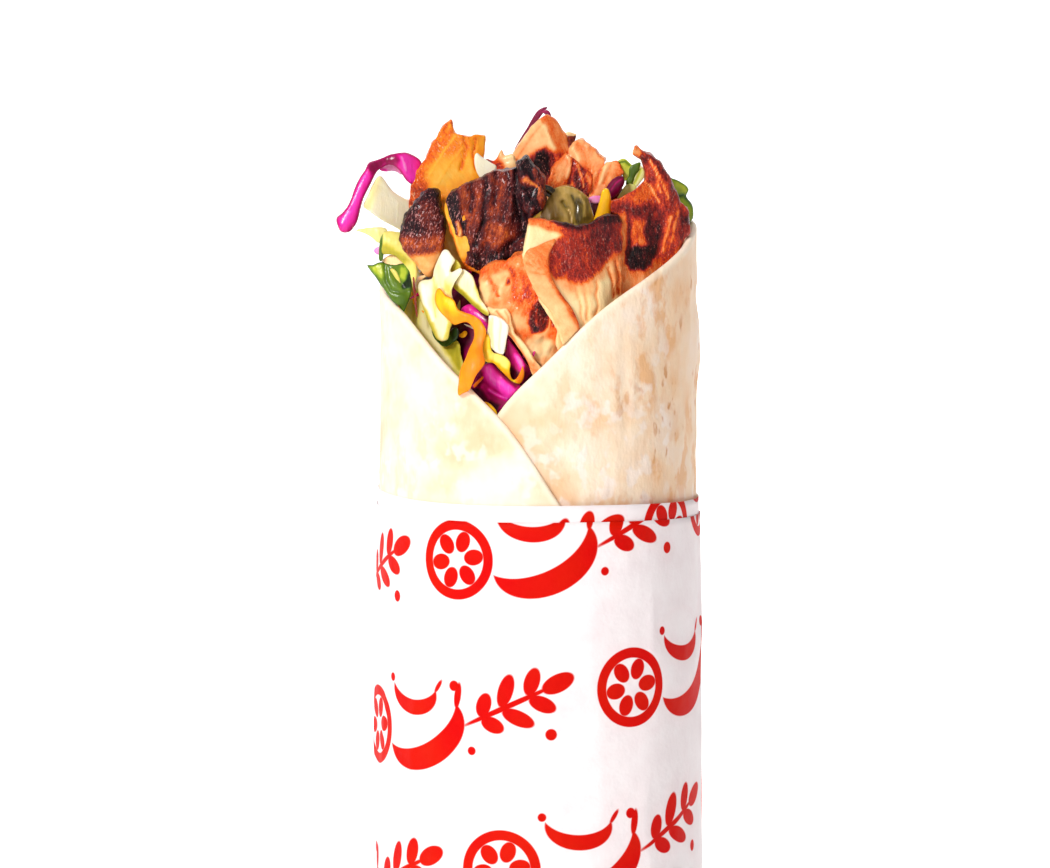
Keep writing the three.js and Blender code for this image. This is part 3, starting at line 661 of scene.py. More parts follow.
def make_bread():
    """The flatbread: one sheet rolled round the filling, with soft dents and puckers.

    `turn` is in degrees from the front towards the right, and goes on past a full turn."""
    first, last = BREAD_EDGE[0][0], BREAD_EDGE[-1][0]
    turn = np.linspace(first, last, BREAD_COLUMNS)[:, None]
    top = through(BREAD_EDGE, turn)
    share = 1.0 - np.linspace(1.0, 0.0, BREAD_ROWS)[None, :] ** 1.6
    z = BREAD_FOOT + share * (top - BREAD_FOOT)
    arc = np.radians(turn) * BREAD_INSIDE
    slope = np.gradient(top[:, 0], arc[:, 0])[:, None]
    to_edge = (top - z) / np.hypot(1.0, slope)
    ends = np.minimum(turn - first, last - turn) * np.pi / 180 * BREAD_INSIDE
    to_edge = np.minimum(to_edge, np.abs(ends))
    inner = bread_inside(turn, z)
    flat = np.stack(np.broadcast_arrays(arc, z, 0.0), axis=-1)
    lift = smooth(1.0, 10.0, to_edge) * smooth(100.0, 130.0, z)
    dents = 0.28 * rough(flat, (11.0, 16.0, 9.0), 3) + 0.10 * rough(flat, 3.0, 5)
    pleats = 0.16 * cloud(flat, (1.6, 22.0, 9.0), 11) * smooth(-0.2, 0.6, cloud(flat, (9.0, 30.0, 9.0), 12))
    far_right = smooth(38.0, 62.0, turn) * smooth(150.0, 110.0, turn)
    pleats = pleats + 0.2 * cloud(flat, (2.2, 14.0, 9.0), 13) * far_right
    slanted = np.stack([flat[..., 0] * 0.8 + z * 0.6, z * 0.8 - flat[..., 0] * 0.6, 0 * z], axis=-1)
    left_flap = smooth(285.0, 305.0, turn) * smooth(352.0, 335.0, turn) * smooth(24.0, 8.0, to_edge)
    wrinkles = 0.46 * cloud(slanted, (2.0, 14.0, 9.0), 14) * left_flap
    right_side = smooth(48.0, 70.0, turn) * smooth(160.0, 110.0, turn)
    waves = 0.34 * cloud(flat, (16.0, 6.5, 9.0), 15) * right_side * smooth(6.0, 16.0, to_edge)
    wave = lift * (dents + pleats + wrinkles + waves)
    edge = np.sqrt(np.clip(1 - (1 - to_edge / (0.5 * BREAD_THICK)) ** 2, 0.02, 1))
    edge = np.where(to_edge > 0.5 * BREAD_THICK, 1.0, edge)
    middle = inner + BREAD_THICK / 2 + wave
    half = BREAD_THICK / 2 * edge
    points, faces = closed_sheet(polar(turn, middle + half, z), polar(turn, middle - half, z))
    # Just below and beside the left flap's edge, the inner layer is marked for a tan painted shadow cast by
    # that flap.
    over = through(BREAD_EDGE, turn + FULL_TURN) - z
    beside = smooth(-16.0, -1.0, over) * smooth(42.0, 20.0, turn)
    # Toward the right side, and at half strength on the left flap's end: a tan painted shade, which is also
    # where mottles and griddle spots gather.
    griddled = smooth(2.0, 62.0, turn) * smooth(230.0, 120.0, turn) + smooth(352.0, 400.0, turn) * 0.5
    marks = {"to_edge": to_edge, "beside": beside, "griddled": np.broadcast_to(griddled, z.shape)}
    marks = {name: np.concatenate([v, v[:, ::-1]], axis=1).ravel() for name, v in marks.items()}
    make_piece("bread_roll", points, faces, "flatbread", "flatbread", marks)


# ---- Paper ----
PAPER_TOP = 127.7  # top edge of the inner turn, at the front
PAPER_DROP = 3.4  # how much lower the edge is one turn further out
PAPER_THICK = 0.14
PAPER_PITCH = 0.3
PAPER_START, PAPER_END = -104.0, 466.0
PAPER_INSIDE = BREAD_INSIDE + BREAD_THICK + 0.83 * BREAD_PITCH + 0.15
PAPER_BULGE, PAPER_BULGE_TURN = 0.6, 12.0  # where it passes over the bread's outer end
PAPER_FLARE = 0.9
PAPER_CORNER = 5.0
PAPER_COLUMNS = 420
WALL_ROWS, FOLD_ROWS, UNDER_ROWS = 84, 9, 8


def make_paper():
    """The printed paper: one sheet rolled round the bread and folded in under its foot."""
    turn = np.linspace(PAPER_START, PAPER_END, PAPER_COLUMNS)[:, None]
    a = np.radians(turn)
    layer = PAPER_PITCH * (turn - PAPER_START) / FULL_TURN
    under = PAPER_PITCH * (PAPER_END - turn) / FULL_TURN
    top = PAPER_TOP - PAPER_DROP * turn / FULL_TURN + 0.25 * np.sin(3 * a + 0.6)
    down = np.linspace(0.0, 1.0, WALL_ROWS)[None, :]
    wall = top + (PAPER_CORNER - top) * down
    bulge = PAPER_BULGE * np.clip(np.cos(np.radians(turn - PAPER_BULGE_TURN)), 0, 1) ** 2
    flare = PAPER_FLARE * np.clip(1 - wall / PAPER_TOP, 0, 1)
    radius = PAPER_INSIDE + layer + bulge + flare
    bend = np.radians(np.linspace(0, 90, FOLD_ROWS + 1)[None, 1:])
    foot = radius[:, -1:]
    fold = foot - (PAPER_CORNER - under) * (1 - np.cos(bend))
    fold_z = PAPER_CORNER - (PAPER_CORNER - under) * np.sin(bend)
    inward = np.linspace(1.0, 0.02, UNDER_ROWS + 1)[None, 1:]
    radius = np.hstack([radius, fold, fold[:, -1:] * inward])
    z = np.hstack([wall, fold_z, np.repeat(fold_z[:, -1:], UNDER_ROWS, axis=1)])
    place = polar(turn, PAPER_INSIDE, z)
    crumple = 1 - np.abs(rough(place, (15.0, 15.0, 26.0), 21, 2))
    creases = 1 - np.abs(cloud(place, (9.0, 9.0, 34.0), 25))
    flutes = smooth(18.0, 4.0, z) * (0.5 + 0.5 * np.sin(26 * a + 2 * cloud(place, 12.0, 27)))
    lift = 0.45 * crumple**3 + 0.2 * creases**6 + 0.35 * flutes
    lift *= smooth(0.1, 1.0, radius / PAPER_INSIDE) * smooth(0.0, 3.0, z) * smooth(0.0, 30.0, top - z)
    outer = polar(turn, radius + lift, z)
    inner = polar(turn, radius + lift - PAPER_THICK, z + PAPER_THICK * smooth(2.0, 0.5, z))
    points, faces = closed_sheet(outer, inner)
    arc = (a - np.radians(FULL_TURN)) * (PAPER_INSIDE + 1.5)
    flat = np.stack(np.broadcast_arrays(arc, z), axis=-1)
    flat = np.concatenate([flat, flat[:, ::-1]], axis=1).reshape(-1, 2)
    make_piece("printed_paper_wrap", points, faces[:, ::-1], "paper", "paper_wrap", {}, flat)


# ---- Slices and leaves: cut to an outline seen from the front ----
FILL_RADIUS = 30.2  # outside of the filling, just within the bread
KEPT_CLEAR = 0.4  # how far within the bread the outermost pieces stay
KEPT_FROM = 0.8  # how far above the bread's edge that begins, and how far below it is complete
ROUND_UP_TO = 0.96  # share of its radius up to which the front of the filling is round
ROUNDED_STEPS = 110  # corners in the outline of a piece with a rounded edge

# The kinds of line that describe a piece, and how many numbers come first in each. After them
# come places seen from the front, as pairs of percentages of the width and height of its box.
ONLY_NUMBERS = 99
NUMBERS_FIRST = {
    "outline": 0,
    "inset": ONLY_NUMBERS,  # pairs of a share of its height and how far in from the front it lies there
    "rim": 2,  # tone, width
    "wave": 4,  # height, pitch, degrees, start
    "crease": 1,  # slope; then its two ends
    "bow": 2,  # height, reach; then its two ends
    # Strokes and areas give each piece its own colours, and some are painted light as well: pale ones are
    # painted highlights where a fold or ridge catches the light, and dark ones are painted shade in grooves,
    # creases and on sides turned from it.
    "stroke": 3,  # tone, width, depth; then its line
    "area": 2,  # tone, softness of its edge; then its corners
    # The wet areas mark where the painted glints lie thicker.
    "wet": 2,  # amount, softness of its edge; then its corners
}
# `thick` is a piece's depth, `base` its tone, `drift` how much that varies, `grain` the way its
# fibres run, `craggy` the height of its lumps, `ragged` how far its edge strays, `voxel` and
# `ease` how finely and how smoothly it is meshed, and `back` how far behind its solid it lies.
# `rounded` smooths its outline, and `hangs_over` lets it lie outside the bread.
USUAL = dict(grain=0.0, drift=0.1, ragged=0.4, voxel=0.32, ease=3.0, back=0.0)


def described(text):
    """Pieces from a list: a line of name and settings, then a line for each thing laid on it.

    A line that starts with a space goes on with the one before."""
    pieces = {}
    for line in filter(None, text.replace("\n ", " ").splitlines()):
        word, *rest = line.split()
        if word.endswith(":"):
            spec = pieces[word[:-1]] = USUAL | {kind: [] for kind in NUMBERS_FIRST}
            for setting in rest:
                key, value = setting.split("=")
                spec[key] = value if value[0].isalpha() else float(value)
        else:
            count = NUMBERS_FIRST[word]
            numbers = [float(number) for number in rest[:count]]
            shares = [int(percent) / 100 for percent in rest[count:]]
            places = [list(zip(shares[::2], shares[1::2]))] if shares else []
            spec[word].append(numbers + places)
    return pieces


def kept_inside(points):
    """Points drawn in to lie within the roll, wherever its bread covers them."""
    turn = np.degrees(np.arctan2(points[:, 0], -points[:, 1]))
    turn = np.where(turn < BREAD_EDGE[0][0], turn + FULL_TURN, turn)
    again = np.where(turn + FULL_TURN < BREAD_EDGE[-1][0], through(BREAD_EDGE, turn + FULL_TURN), 0.0)
    under = smooth(KEPT_FROM, -KEPT_FROM, points[:, 2] - np.maximum(through(BREAD_EDGE, turn), again))
    radius = np.hypot(points[:, 0], points[:, 1])
    over = np.clip(radius - (bread_inside(turn, points[:, 2]) - KEPT_CLEAR), 0, None) * under
    return points * np.stack([1 - over / radius, 1 - over / radius, np.ones_like(radius)], axis=1)


def outline_of(node, spec):
    """The outline of a piece in x and z."""
    edge = np.array(spec["outline"][0][0])
    if "rounded" in spec:
        edge = curve_through(np.pad(edge, ((0, 0), (0, 1))), ROUNDED_STEPS, closed=True)
    return np.stack(in_box(node, edge[:, 0], edge[:, 1]), axis=-1)


def away_from(x, z, line):
    """How far each point is from a line through corners, seen from the front."""
    nearest = np.full(x.shape, 1e9)
    for (ax, az), (bx, bz) in zip(line[:-1], line[1:]):
        dx, dz = bx - ax, bz - az
        along = np.clip(((x - ax) * dx + (z - az) * dz) / (dx * dx + dz * dz), 0, 1)
        nearest = np.minimum(nearest, np.hypot(x - ax - along * dx, z - az - along * dz))
    return nearest


def resting_place(spec, node):
    """How far back a piece lies: as its solid does, or so far in from the front of the roll."""
    if not spec["inset"]:
        lie = lie_of(node)
        return lambda x, z: lie(x, z) + spec["back"]
    low, high = corners(node)
    inset = np.reshape(spec["inset"][0], (-1, 2))

    def lie(x, z):
        radius = FILL_RADIUS - through(inset, (z - low[2]) / (high[2] - low[2]))
        return -np.sqrt(radius**2 - np.minimum(np.abs(x), ROUND_UP_TO * radius) ** 2)

    return lie


def make_slice(name, node, spec):
    """A slice or leaf: its outline cut from a sheet and laid in its resting place."""
    thick = spec["thick"]
    bm = bmesh.new()
    outline = outline_of(node, spec)
    sheet = bm.faces.new([bm.verts.new((x, -thick / 2, z)) for x, z in outline])
    back = bmesh.ops.extrude_face_region(bm, geom=[sheet])
    for vertex in back["geom"]:
        if isinstance(vertex, bmesh.types.BMVert):
            vertex.co.y += thick
    bmesh.ops.recalc_face_normals(bm, faces=bm.faces)
    points, faces = remeshed(bm, spec["voxel"], int(spec["ease"]))
    seed = sum(map(ord, name))
    if spec["rim"]:
        to_rim = away_from(points[:, 0], points[:, 2], np.vstack([outline, outline[:1]]))
    shift = np.stack([rough(points * (1, 0.3, 1), 2.2, seed + k) for k in (1, 2)], axis=1)
    points[:, [0, 2]] += spec["ragged"] * shift
    x, z = points[:, 0].copy(), points[:, 2].copy()
    tone = toned(points, node, spec["base"], spec["area"], spec["drift"], seed)
    for value, width in spec["rim"]:
        tone += smooth(width, 0.0, to_rim) * (value - tone)
    bend = resting_place(spec, node)(x, z)
    for height, pitch, degrees, start in spec["wave"]:
        across = x * math.cos(math.radians(degrees)) + z * math.sin(math.radians(degrees))
        across += 0.8 * cloud(points, 6.0, seed + 9)
        bend += height * np.sin(2 * np.pi * (across / pitch + start))
    for slope, (one, other) in spec["crease"]:
        (ax, az), (bx, bz) = in_box(node, *one), in_box(node, *other)
        away = np.abs((x - ax) * (bz - az) - (z - az) * (bx - ax)) / math.hypot(bx - ax, bz - az)
        bend += slope * away
    for height, reach, (one, other) in spec["bow"]:
        away = away_from(x, z, [in_box(node, *one), in_box(node, *other)])
        bend -= height * np.clip(1 - (away / reach) ** 2, 0, 1)
    for value, width, depth, line in spec["stroke"]:
        wander = 0.3 * cloud(points, 2.0, seed + 15)
        away = away_from(x + wander, z + wander, [in_box(node, *place) for place in line])
        share = np.exp(-((away / width) ** 2))
        tone += share * (value - tone)
        bend += depth * share
    points[:, 1] += bend
    grain = math.radians(spec["grain"])
    along = x * math.sin(grain) + z * math.cos(grain)
    across = x * math.cos(grain) - z * math.sin(grain)
    fibres = np.stack([across, points[:, 1], along], axis=1)
    craggy = spec["craggy"]
    lumps = craggy * rough(points, 3.2, seed + 3)
    lumps = lumps + 0.6 * craggy * rough(fibres, (0.8, 1.6, 4.0), seed + 5, 2)
    caught = smooth(0.45, 0.8, tone) * 0.45 * craggy * rough(points, 0.8, seed + 7, 2)
    points = points + normals_of(points, faces) * (lumps + caught)[:, None]
    if "hangs_over" not in spec:
        points = kept_inside(points)
    # How thickly the painted glints lie at each point, from the piece's wet areas.
    wetter = toned(np.stack([x, points[:, 1], z], axis=1), node, 0.0, spec["wet"], 0.0)
    marks = {"tone": tone, "grain": fibres, "wetter": wetter}
    make_piece(name, points, faces, spec["slot"], spec.get("stands_for", node), marks)


SLICES = described("""\
front_slice: slot=roast_meat thick=4.2 base=0.1 grain=-6 drift=0.06 craggy=0.2
outline 9 98 20 98 34 96 50 93 60 94 69 97 78 100 88 100 92 94 92 30 73 12 42 0 33 10 34 20 20 39 8 58 3 73
 7 85
wave 0.25 9 20 0.1
crease 0.1 4 71 36 90
bow 1.3 6 72 46 66 12
stroke 0.3 0.3 0.5 67 54 69 42 68 28
stroke 0.42 0.3 0.5 79 64 82 53 83 42
stroke 0.24 0.3 0.4 58 52 60 41 61 28
stroke 0.22 0.3 0.4 50 48 54 36 58 22
stroke 0.46 0.3 0.6 86 68 88 54 87 44
stroke -0.1 0.3 -0.2 73 52 75 40 74 30
area 0.02 0.05 30 56 42 54 54 52 63 49 83 61 92 72 92 44 61 10 50 12 40 36
area 0.14 0.05 37 54 54 52 67 49 61 41 44 46
area 0.32 0.04 82 70 95 75 95 42 84 46
area 0.27 0.07 26 62 31 52 43 49 55 48 64 50 73 56 80 63 84 66 84 76 60 70 40 66
area 0.6 0.025 35 92 42 94 49 93 88 98 92 98 92 76 84 74 79 69 72 62 64 56 55 54 43 55 31 57 25 64 27 76
area 0.74 0.05 60 96 90 99 92 74 79 70 69 67 63 79 61 87
area 0.66 0.03 40 68 52 66 62 68 60 61 50 58 40 59
area 0.03 0.03 6 95 17 91 34 89 37 86 26 81 12 77 3 74 4 86
area 0.4 0.02 7 100 20 101 37 97 42 93 33 89 17 92 7 95
area 0.86 0.015 20 103 37 99 49 98 61 98 76 102 95 104 94 94 76 95 61 91 49 90 38 92
wet 0.6 0.08 34 78 50 90 90 90 90 72 62 60 40 60

lower_slice: slot=roast_meat thick=5 base=0.27 grain=24 drift=0.24 craggy=0.55
outline 2 83 5 87 16 93 22 95 25 94 33 98 42 102 60 96 80 60 100 34 108 0 96 -14 78 -8 60 -6 49 4 40 15 33
 25 29 32 26 41 23 47 18 47 11 46 5 51 2 56 1 72
wave 0.4 8 60 0
stroke 0.16 0.6 -0.4 26 82 22 72 19 60
stroke 0.5 0.5 0.4 30 88 33 80 32 66
stroke 0.5 0.2 -0.3 54 50 53 42 54 36
stroke 0.44 0.4 0.3 8 84 12 72 18 62
stroke 0.16 0.5 -0.3 66 42 64 32 60 26
area 0.24 0.05 10 79 23 83 33 83 31 70 27 54 23 48 12 52 8 64
area 0.12 0.03 0 76 7 73 10 64 9 54 0 52
area 0.42 0.04 7 88 15 91 23 93 25 88 17 83 9 81
area 0.36 0.03 23 94 33 98 41 104 48 92 35 88 27 88
area 0.48 0.06 36 84 47 78 49 65 43 54 33 46 30 46 31 58 35 71
area 0.4 0.04 49 72 58 61 58 48 49 38 43 38 40 46 45 59
area 0.82 0.025 58 58 74 48 74 38 64 30 56 27 49 27 46 38 49 49
area 0.24 0.03 32 43 38 42 42 36 38 29 33 30 30 37
area 0.05 0.03 45 22 58 22 70 22 66 8 54 6 45 13
area 0.4 0.04 64 32 74 38 90 20 80 10 70 19 64 23
area 0.78 0.02 22 79 27 79 28 72 23 71
wet 1 0.04 47 76 58 61 58 40 50 30 43 38 42 52 45 62
wet 1 0.05 18 92 36 92 38 58 28 50 14 58 12 82
wet 0.8 0.04 44 24 70 24 66 8 50 8

dark_slice: slot=charred_meat thick=6.5 base=0.7 grain=14 drift=0.16 craggy=0.3 ease=5
outline 6 67 9 73 14 74 23 79 39 86 53 92 70 95 74 100 83 100 98 85 98 60 86 50 81 37 80 16 67 11 56 10 47 4
 35 -1 23 7 23 20 23 30 20 30 15 33 12 41 8 50 5 60
wave 0.5 5.2 -10 0.2
stroke 0.92 0.7 0.9 40 90 44 77 41 59 40 44 32 24
stroke 0.98 0.9 1.3 71 94 70 74 72 59 78 44 79 34
stroke 0.84 0.6 0.7 60 94 64 81 63 65 57 46
stroke 0.88 0.6 0.6 23 30 28 15 32 0
stroke 0.9 0.6 0.5 76 32 62 21 48 12
stroke 0.8 0.5 0.5 52 90 52 76 50 62
stroke 0.84 0.5 0.5 29 82 31 68 28 54
stroke 0.12 0.45 -0.5 16 45 18 38 17 30
area 0.6 0.05 16 74 36 86 40 74 36 55 25 44 22 48 18 66
area 0.66 0.05 43 88 58 94 62 80 58 60 46 44 42 66
area 0.58 0.04 60 94 70 95 69 74 66 60 64 70
area 0.58 0.06 40 42 63 48 70 33 55 19 40 26
area 0.9 0.04 29 18 62 17 82 22 70 8 48 4 32 -4
area 0.97 0.025 0 76 12 77 18 68 18 54 23 46 24 28 12 28 4 44 0 58
area 0.9 0.05 70 105 82 105 90 86 102 61 93 50 80 50 74 63 71 77
wet 0.8 0.05 -4 76 14 72 22 48 20 30 2 44
wet 0.7 0.05 30 60 38 52 40 34 34 20 26 30
wet 0.6 0.05 62 90 70 90 72 60 80 40 60 50
wet 0.8 0.05 28 16 46 20 50 4 30 -4

char_chunk: slot=charred_meat thick=6 base=0.88 grain=20 craggy=0.45 ease=8
outline 65 102 77 101 84 96 86 87 90 77 95 67 98 56 100 44 93 35 84 25 77 15 68 0 56 1 42 8 29 16 15 23 3 30
 -1 38 -4 48 -1 62 6 71 17 80 29 87 40 94 52 99
area 0.74 0.06 43 90 70 88 80 74 82 58 64 51 41 56 32 72
area 0.56 0.07 -8 51 22 46 52 47 77 48 104 52 98 35 68 31 31 30 0 28
area 0.26 0.06 -6 28 31 27 68 29 100 36 84 8 66 -8 30 4
wet 0.85 0.08 20 84 60 90 84 70 96 52 90 38 40 30 0 34 4 60

orange_slice: slot=glazed_meat thick=3.2 base=0.36 grain=-32 craggy=0.22
outline 0 41 7 55 15 67 25 74 35 83 40 88 48 94 55 98 57 92 60 88 67 86 75 85 85 86 98 86 95 73 93 60 95 36
 88 0 66 -2 50 5 20 5 2 20
crease 0.14 72 85 80 66
stroke 0.16 0.25 -0.15 53 92 35 81 21 66
stroke 0.2 0.25 -0.12 60 86 43 74 28 60
stroke 0.2 0.25 -0.1 70 79 55 69 39 55
stroke 0.46 0.4 0.3 71 86 74 77 66 64
stroke 0.5 0.4 0.3 48 90 30 76 12 58
stroke 0.5 0.3 0.3 84 84 82 74 86 64
area 0.5 0.05 54 98 35 86 16 68 1 48 -4 30 10 48 30 69 56 88
area 0.26 0.04 76 85 100 88 97 70 85 63 77 70
area 0.14 0.08 28 64 48 70 85 72 92 61 70 55 43 52 30 50
area 0.62 0.05 -6 30 1 50 11 60 24 55 20 30 0 10
area 0.08 0.05 48 44 96 44 96 -6 60 -6 44 20
area 0.4 0.03 56 6 70 2 90 8 90 -6 60 -6
wet 0.7 0.06 30 80 60 90 80 70 92 50 80 20 56 10 40 40

pale_slice: slot=roast_meat thick=3.8 base=0.2 grain=-20 drift=0.05 craggy=0.12 ragged=0.2
outline 4 55 9 66 16 74 29 86 43 96 52 101 62 104 72 99 82 92 87 86 94 82 96 71 91 60 86 40 60 15 28 15 12
 41
crease 0.4 58 88 80 60
stroke 0.08 0.3 -0.2 55 92 60 84 74 72
stroke 0.3 0.25 0.1 14 60 34 80 50 92
area 0.19 0.03 4 55 9 66 29 86 51 99 58 88 72 74 58 73 41 68 28 62 18 61 14 50
area 0.34 0.03 58 88 72 100 84 93 97 81 95 66 82 64 72 73
area 0.4 0.04 47 100 62 107 76 99 66 92 56 94
area 0.52 0.04 22 58 41 68 58 73 74 68 92 66 90 40 68 36 41 36 16 44
area 0.7 0.04 30 58 43 67 60 73 72 66 74 50 60 36 31 40
area 0.97 0.03 43 66 59 72 65 60 62 48 49 38 35 41 38 54

torn_slice: slot=roast_meat thick=3.6 base=0.27 grain=20 drift=0.12 craggy=0.3 ragged=0.45
outline 3 90 9 98 20 102 30 102 37 97 45 93 52 91 54 86 58 83 66 81 63 76 58 57 40 20 7 20 -6 52 1 76
stroke 0.34 0.3 0.4 20 100 30 89 43 68
stroke 0.38 0.25 0.3 51 92 54 83 63 80
stroke 0.1 0.3 -0.2 12 94 20 84 24 72
area 0.46 0.05 16 78 35 70 43 66 60 60 35 50 10 60 2 76

right_slice: slot=roast_meat thick=4.8 base=0.56 grain=4 drift=0.12 craggy=0.3
outline 30 92 33 99 38 97 43 93 54 92 65 86 75 78 83 68 87 62 97 56 100 46 100 41 83 25 52 6 17 0 13 18 14
 38 12 52 2 55 4 61 17 65 35 71 46 76 44 83 41 89
wave 0.4 7 10 0.3
stroke 0.3 0.35 -0.2 76 52 71 41 67 31
stroke 0.34 0.3 -0.2 85 55 81 46 78 37
stroke 0.2 0.22 -0.2 50 88 58 78 64 68
stroke 0.26 0.22 -0.2 56 84 66 74 74 64
stroke 0.62 0.4 0.4 66 52 65 40 60 28
stroke 0.2 0.22 -0.2 44 74 54 70 62 62
stroke 0.8 0.4 0.5 24 58 25 42 23 24
area 0.72 0.05 40 92 54 94 65 88 75 80 83 70 89 60 76 62 68 75 58 82 44 84
area 0.6 0.05 45 76 58 82 68 74 73 64 57 61 48 66
area 0.46 0.04 5 63 16 66 33 68 45 73 57 69 42 62 16 60
area 0.78 0.035 16 61 44 60 64 59 74 52 64 49 44 50 27 54 10 58
area 0.86 0.035 44 51 66 52 64 40 60 28 49 20 39 26 44 36
area 0.45 0.025 24 51 44 48 45 37 34 33 26 35 22 43
area 0.97 0.02 22 32 34 35 62 34 56 25 44 17 25 19 20 24
area 0.3 0.025 8 54 22 54 23 40 22 29 22 19 14 6 6 10 12 31
area 0.3 0.03 22 20 44 17 56 25 62 22 56 8 24 -4 10 4
area 0.6 0.04 68 51 86 60 100 51 98 40 81 32 64 26 62 32 67 40
area 0.72 0.03 86 58 100 52 99 42 86 38
area 0.3 0.02 28 92 33 102 38 96 42 94 39 90 34 91

garlic_bit: slot=white_cabbage thick=2 base=0.1 drift=0.03 craggy=0.06 ragged=0.1 rounded=yes
outline 17 105 34 95 58 86 84 76 72 62 42 44 19 62 10 84

white_cabbage_wedge: slot=white_cabbage thick=2 base=0.14 drift=0.03 craggy=0.06 ragged=0.06 rounded=yes
outline 23 100 29 95 35 86 42 77 51 70 61 64 74 56 74 10 57 15 45 22 33 28 21 36 10 45 -1 53 2 61 7 71 11 82
 17 93
crease 0.2 23 100 12 45
bow 1.2 4 10 60 60 35
area 0.4 0.07 -5 50 10 85 22 105 26 92 17 70 10 50

onion_leaf: slot=green_leaf thick=1.5 base=0.66 drift=0.06 craggy=0.1 ragged=0.06 voxel=0.26 rounded=yes
outline -1 88 11 87 23 92 30 93 44 90 58 89 74 91 84 88 89 78 91 63 90 43 86 25 80 12 73 0 64 10 52 22 40 37
 29 51 19 65 7 77
rim 0.84 0.35
bow 1.2 3 10 85 55 30
stroke 0.72 0.35 0.4 36 86 40 60 50 42 70 38 88 42
area 0.3 0.05 7 85 23 90 31 89 36 74 31 62 19 72
area 0.34 0.04 70 86 82 87 82 76 74 62 64 68
area 0.97 0.02 85 80 90 63 89 46 70 43 68 50 75 60 80 72
area 0.68 0.05 40 44 58 36 90 40 90 20 72 -5 50 20

lettuce_ribbon: slot=lettuce thick=1.1 base=0.06 drift=0.04 craggy=0.06 ragged=0.05 voxel=0.24 rounded=yes
outline 34 86 43 82 52 76 57 65 62 55 66 44 74 36 82 26 83 19 74 21 61 28 47 37 32 48 15 59 21 70 26 79
inset 0 2.4 1 3
bow 0.8 2.2 35 70 80 24
area 0.74 0.03 12 60 20 66 36 54 51 42 66 33 83 24 80 15 47 30
area 0.4 0.04 56 74 68 50 66 40 54 60

cabbage_curl: slot=white_cabbage thick=1.1 base=0.26 drift=0.06 craggy=0.06 ragged=0.04 voxel=0.24
 rounded=yes
outline 63 96 74 96 85 91 94 86 85 80 80 73 92 76 106 79 112 76 102 70 92 64 85 56 88 48 95 41 90 28 80 18
 78 11 71 7 58 6 46 8 36 15 26 24 16 34 6 45 -2 55 2 62 13 65 35 67 38 74 45 82 55 91
inset 0 1.4 0.3 1.2 0.6 1.7 1 3.2
bow 1.6 3.6 14 54 62 12
bow 0.9 2.2 66 90 60 60
bow 0.9 1.6 105 77 80 55
stroke 0.5 0.3 0.3 36 67 40 58 37 46 44 30
stroke 0.34 0.35 0.25 52 80 56 68 58 54
stroke 0.02 0.35 -0.3 8 60 18 46 36 26
stroke 0 0.3 -0.2 66 92 72 82 74 72
area 0.72 0.04 70 44 100 42 92 20 80 8 68 10 74 26
area 0.74 0.05 -6 56 8 50 24 34 40 18 56 10 74 4 40 2 10 30
area 0.1 0.06 2 58 30 64 34 50 20 40 10 46
area 0.06 0.05 56 100 74 98 82 86 70 72 56 78
area 0.56 0.05 70 66 86 62 84 50 64 54
area 0.5 0.05 40 64 52 60 56 40 44 34 38 50
area 0.12 0.04 84 78 106 80 112 76 96 70 84 72

carrot_ribbon: slot=carrot thick=1.1 base=0.6 drift=0.04 craggy=0.04 ragged=0.03 voxel=0.24 rounded=yes
 hangs_over=yes
outline 3 99 -2 94 -3 87 2 81 12 75 24 70 35 66 47 68 58 69 68 66 73 61 72 54 64 46 57 37 48 28 44 18 42 3
 53 5 65 8 71 15 79 23 89 29 95 34 90 42 91 51 97 60 92 66 83 72 69 76 54 78 41 81 37 87 29 91 18 93 10 98
inset 0 -4.3 0.2 -4.4 0.36 -3.2 0.48 -1.2 0.6 -0.2 0.8 0.1 1 0.5
rim 0.72 0.3
bow 0.9 2.4 5 85 50 72
bow 0.9 2.6 85 60 60 20
area 0.22 0.06 14 97 40 90 50 80 34 78 16 86
area 0.38 0.06 -5 100 12 100 16 86 12 76 -5 80
area 0.76 0.08 80 52 100 60 100 28 78 20

carrot_loop: slot=carrot thick=0.9 base=0.26 drift=0.03 craggy=0.04 ragged=0.03 voxel=0.22 rounded=yes
outline 22 104 16 92 13 78 11 65 15 51 24 47 34 46 44 36 55 24 67 11 79 3 88 6 94 18 94 31 91 43 87 32 82 20
 74 11 68 19 66 32 67 46 59 57 48 63 34 67 29 78 28 94
inset 0 2.2 0.5 0.6 1 0.2
bow 0.7 1.6 20 90 20 55
bow 0.6 2 30 55 62 35
area 0.02 0.06 30 72 62 62 70 50 62 36 40 48 24 58
area 0.5 0.05 30 48 46 46 62 30 68 14 66 6 40 34
area 0.74 0.05 70 14 80 20 90 48 100 40 96 10 84 0

white_cabbage_strip: slot=white_cabbage thick=1.2 base=0.06 drift=0.03 craggy=0.04 ragged=0.08 voxel=0.24
outline 2 100 43 98 75 90 100 78 100 67 89 48 82 29 76 14 37 18 10 30 -6 60 -2 76
inset 0 -0.1 1 0.6
stroke 0.34 0.25 0.2 20 92 14 60 24 30
stroke 0.3 0.2 0.1 60 90 56 50 60 24
area 0.34 0.05 -5 100 0 62 12 30 22 40 18 90

cabbage_rib: slot=roast_meat thick=1.3 base=0.13 grain=-38 drift=0.04 craggy=0.06 ragged=0.05 voxel=0.24
 rounded=yes
outline -2 100 6 104 17 98 20 88 33 79 44 68 54 57 64 43 80 26 62 14 48 38 38 52 27 64 13 79 2 88
inset 0 1.2 1 1.8
stroke 0.32 0.25 0.3 2 92 14 82 28 68 46 46 60 22
stroke 0.04 0.25 -0.1 12 98 20 86 44 66 62 42
area 0.3 0.05 50 50 64 40 80 20 62 10

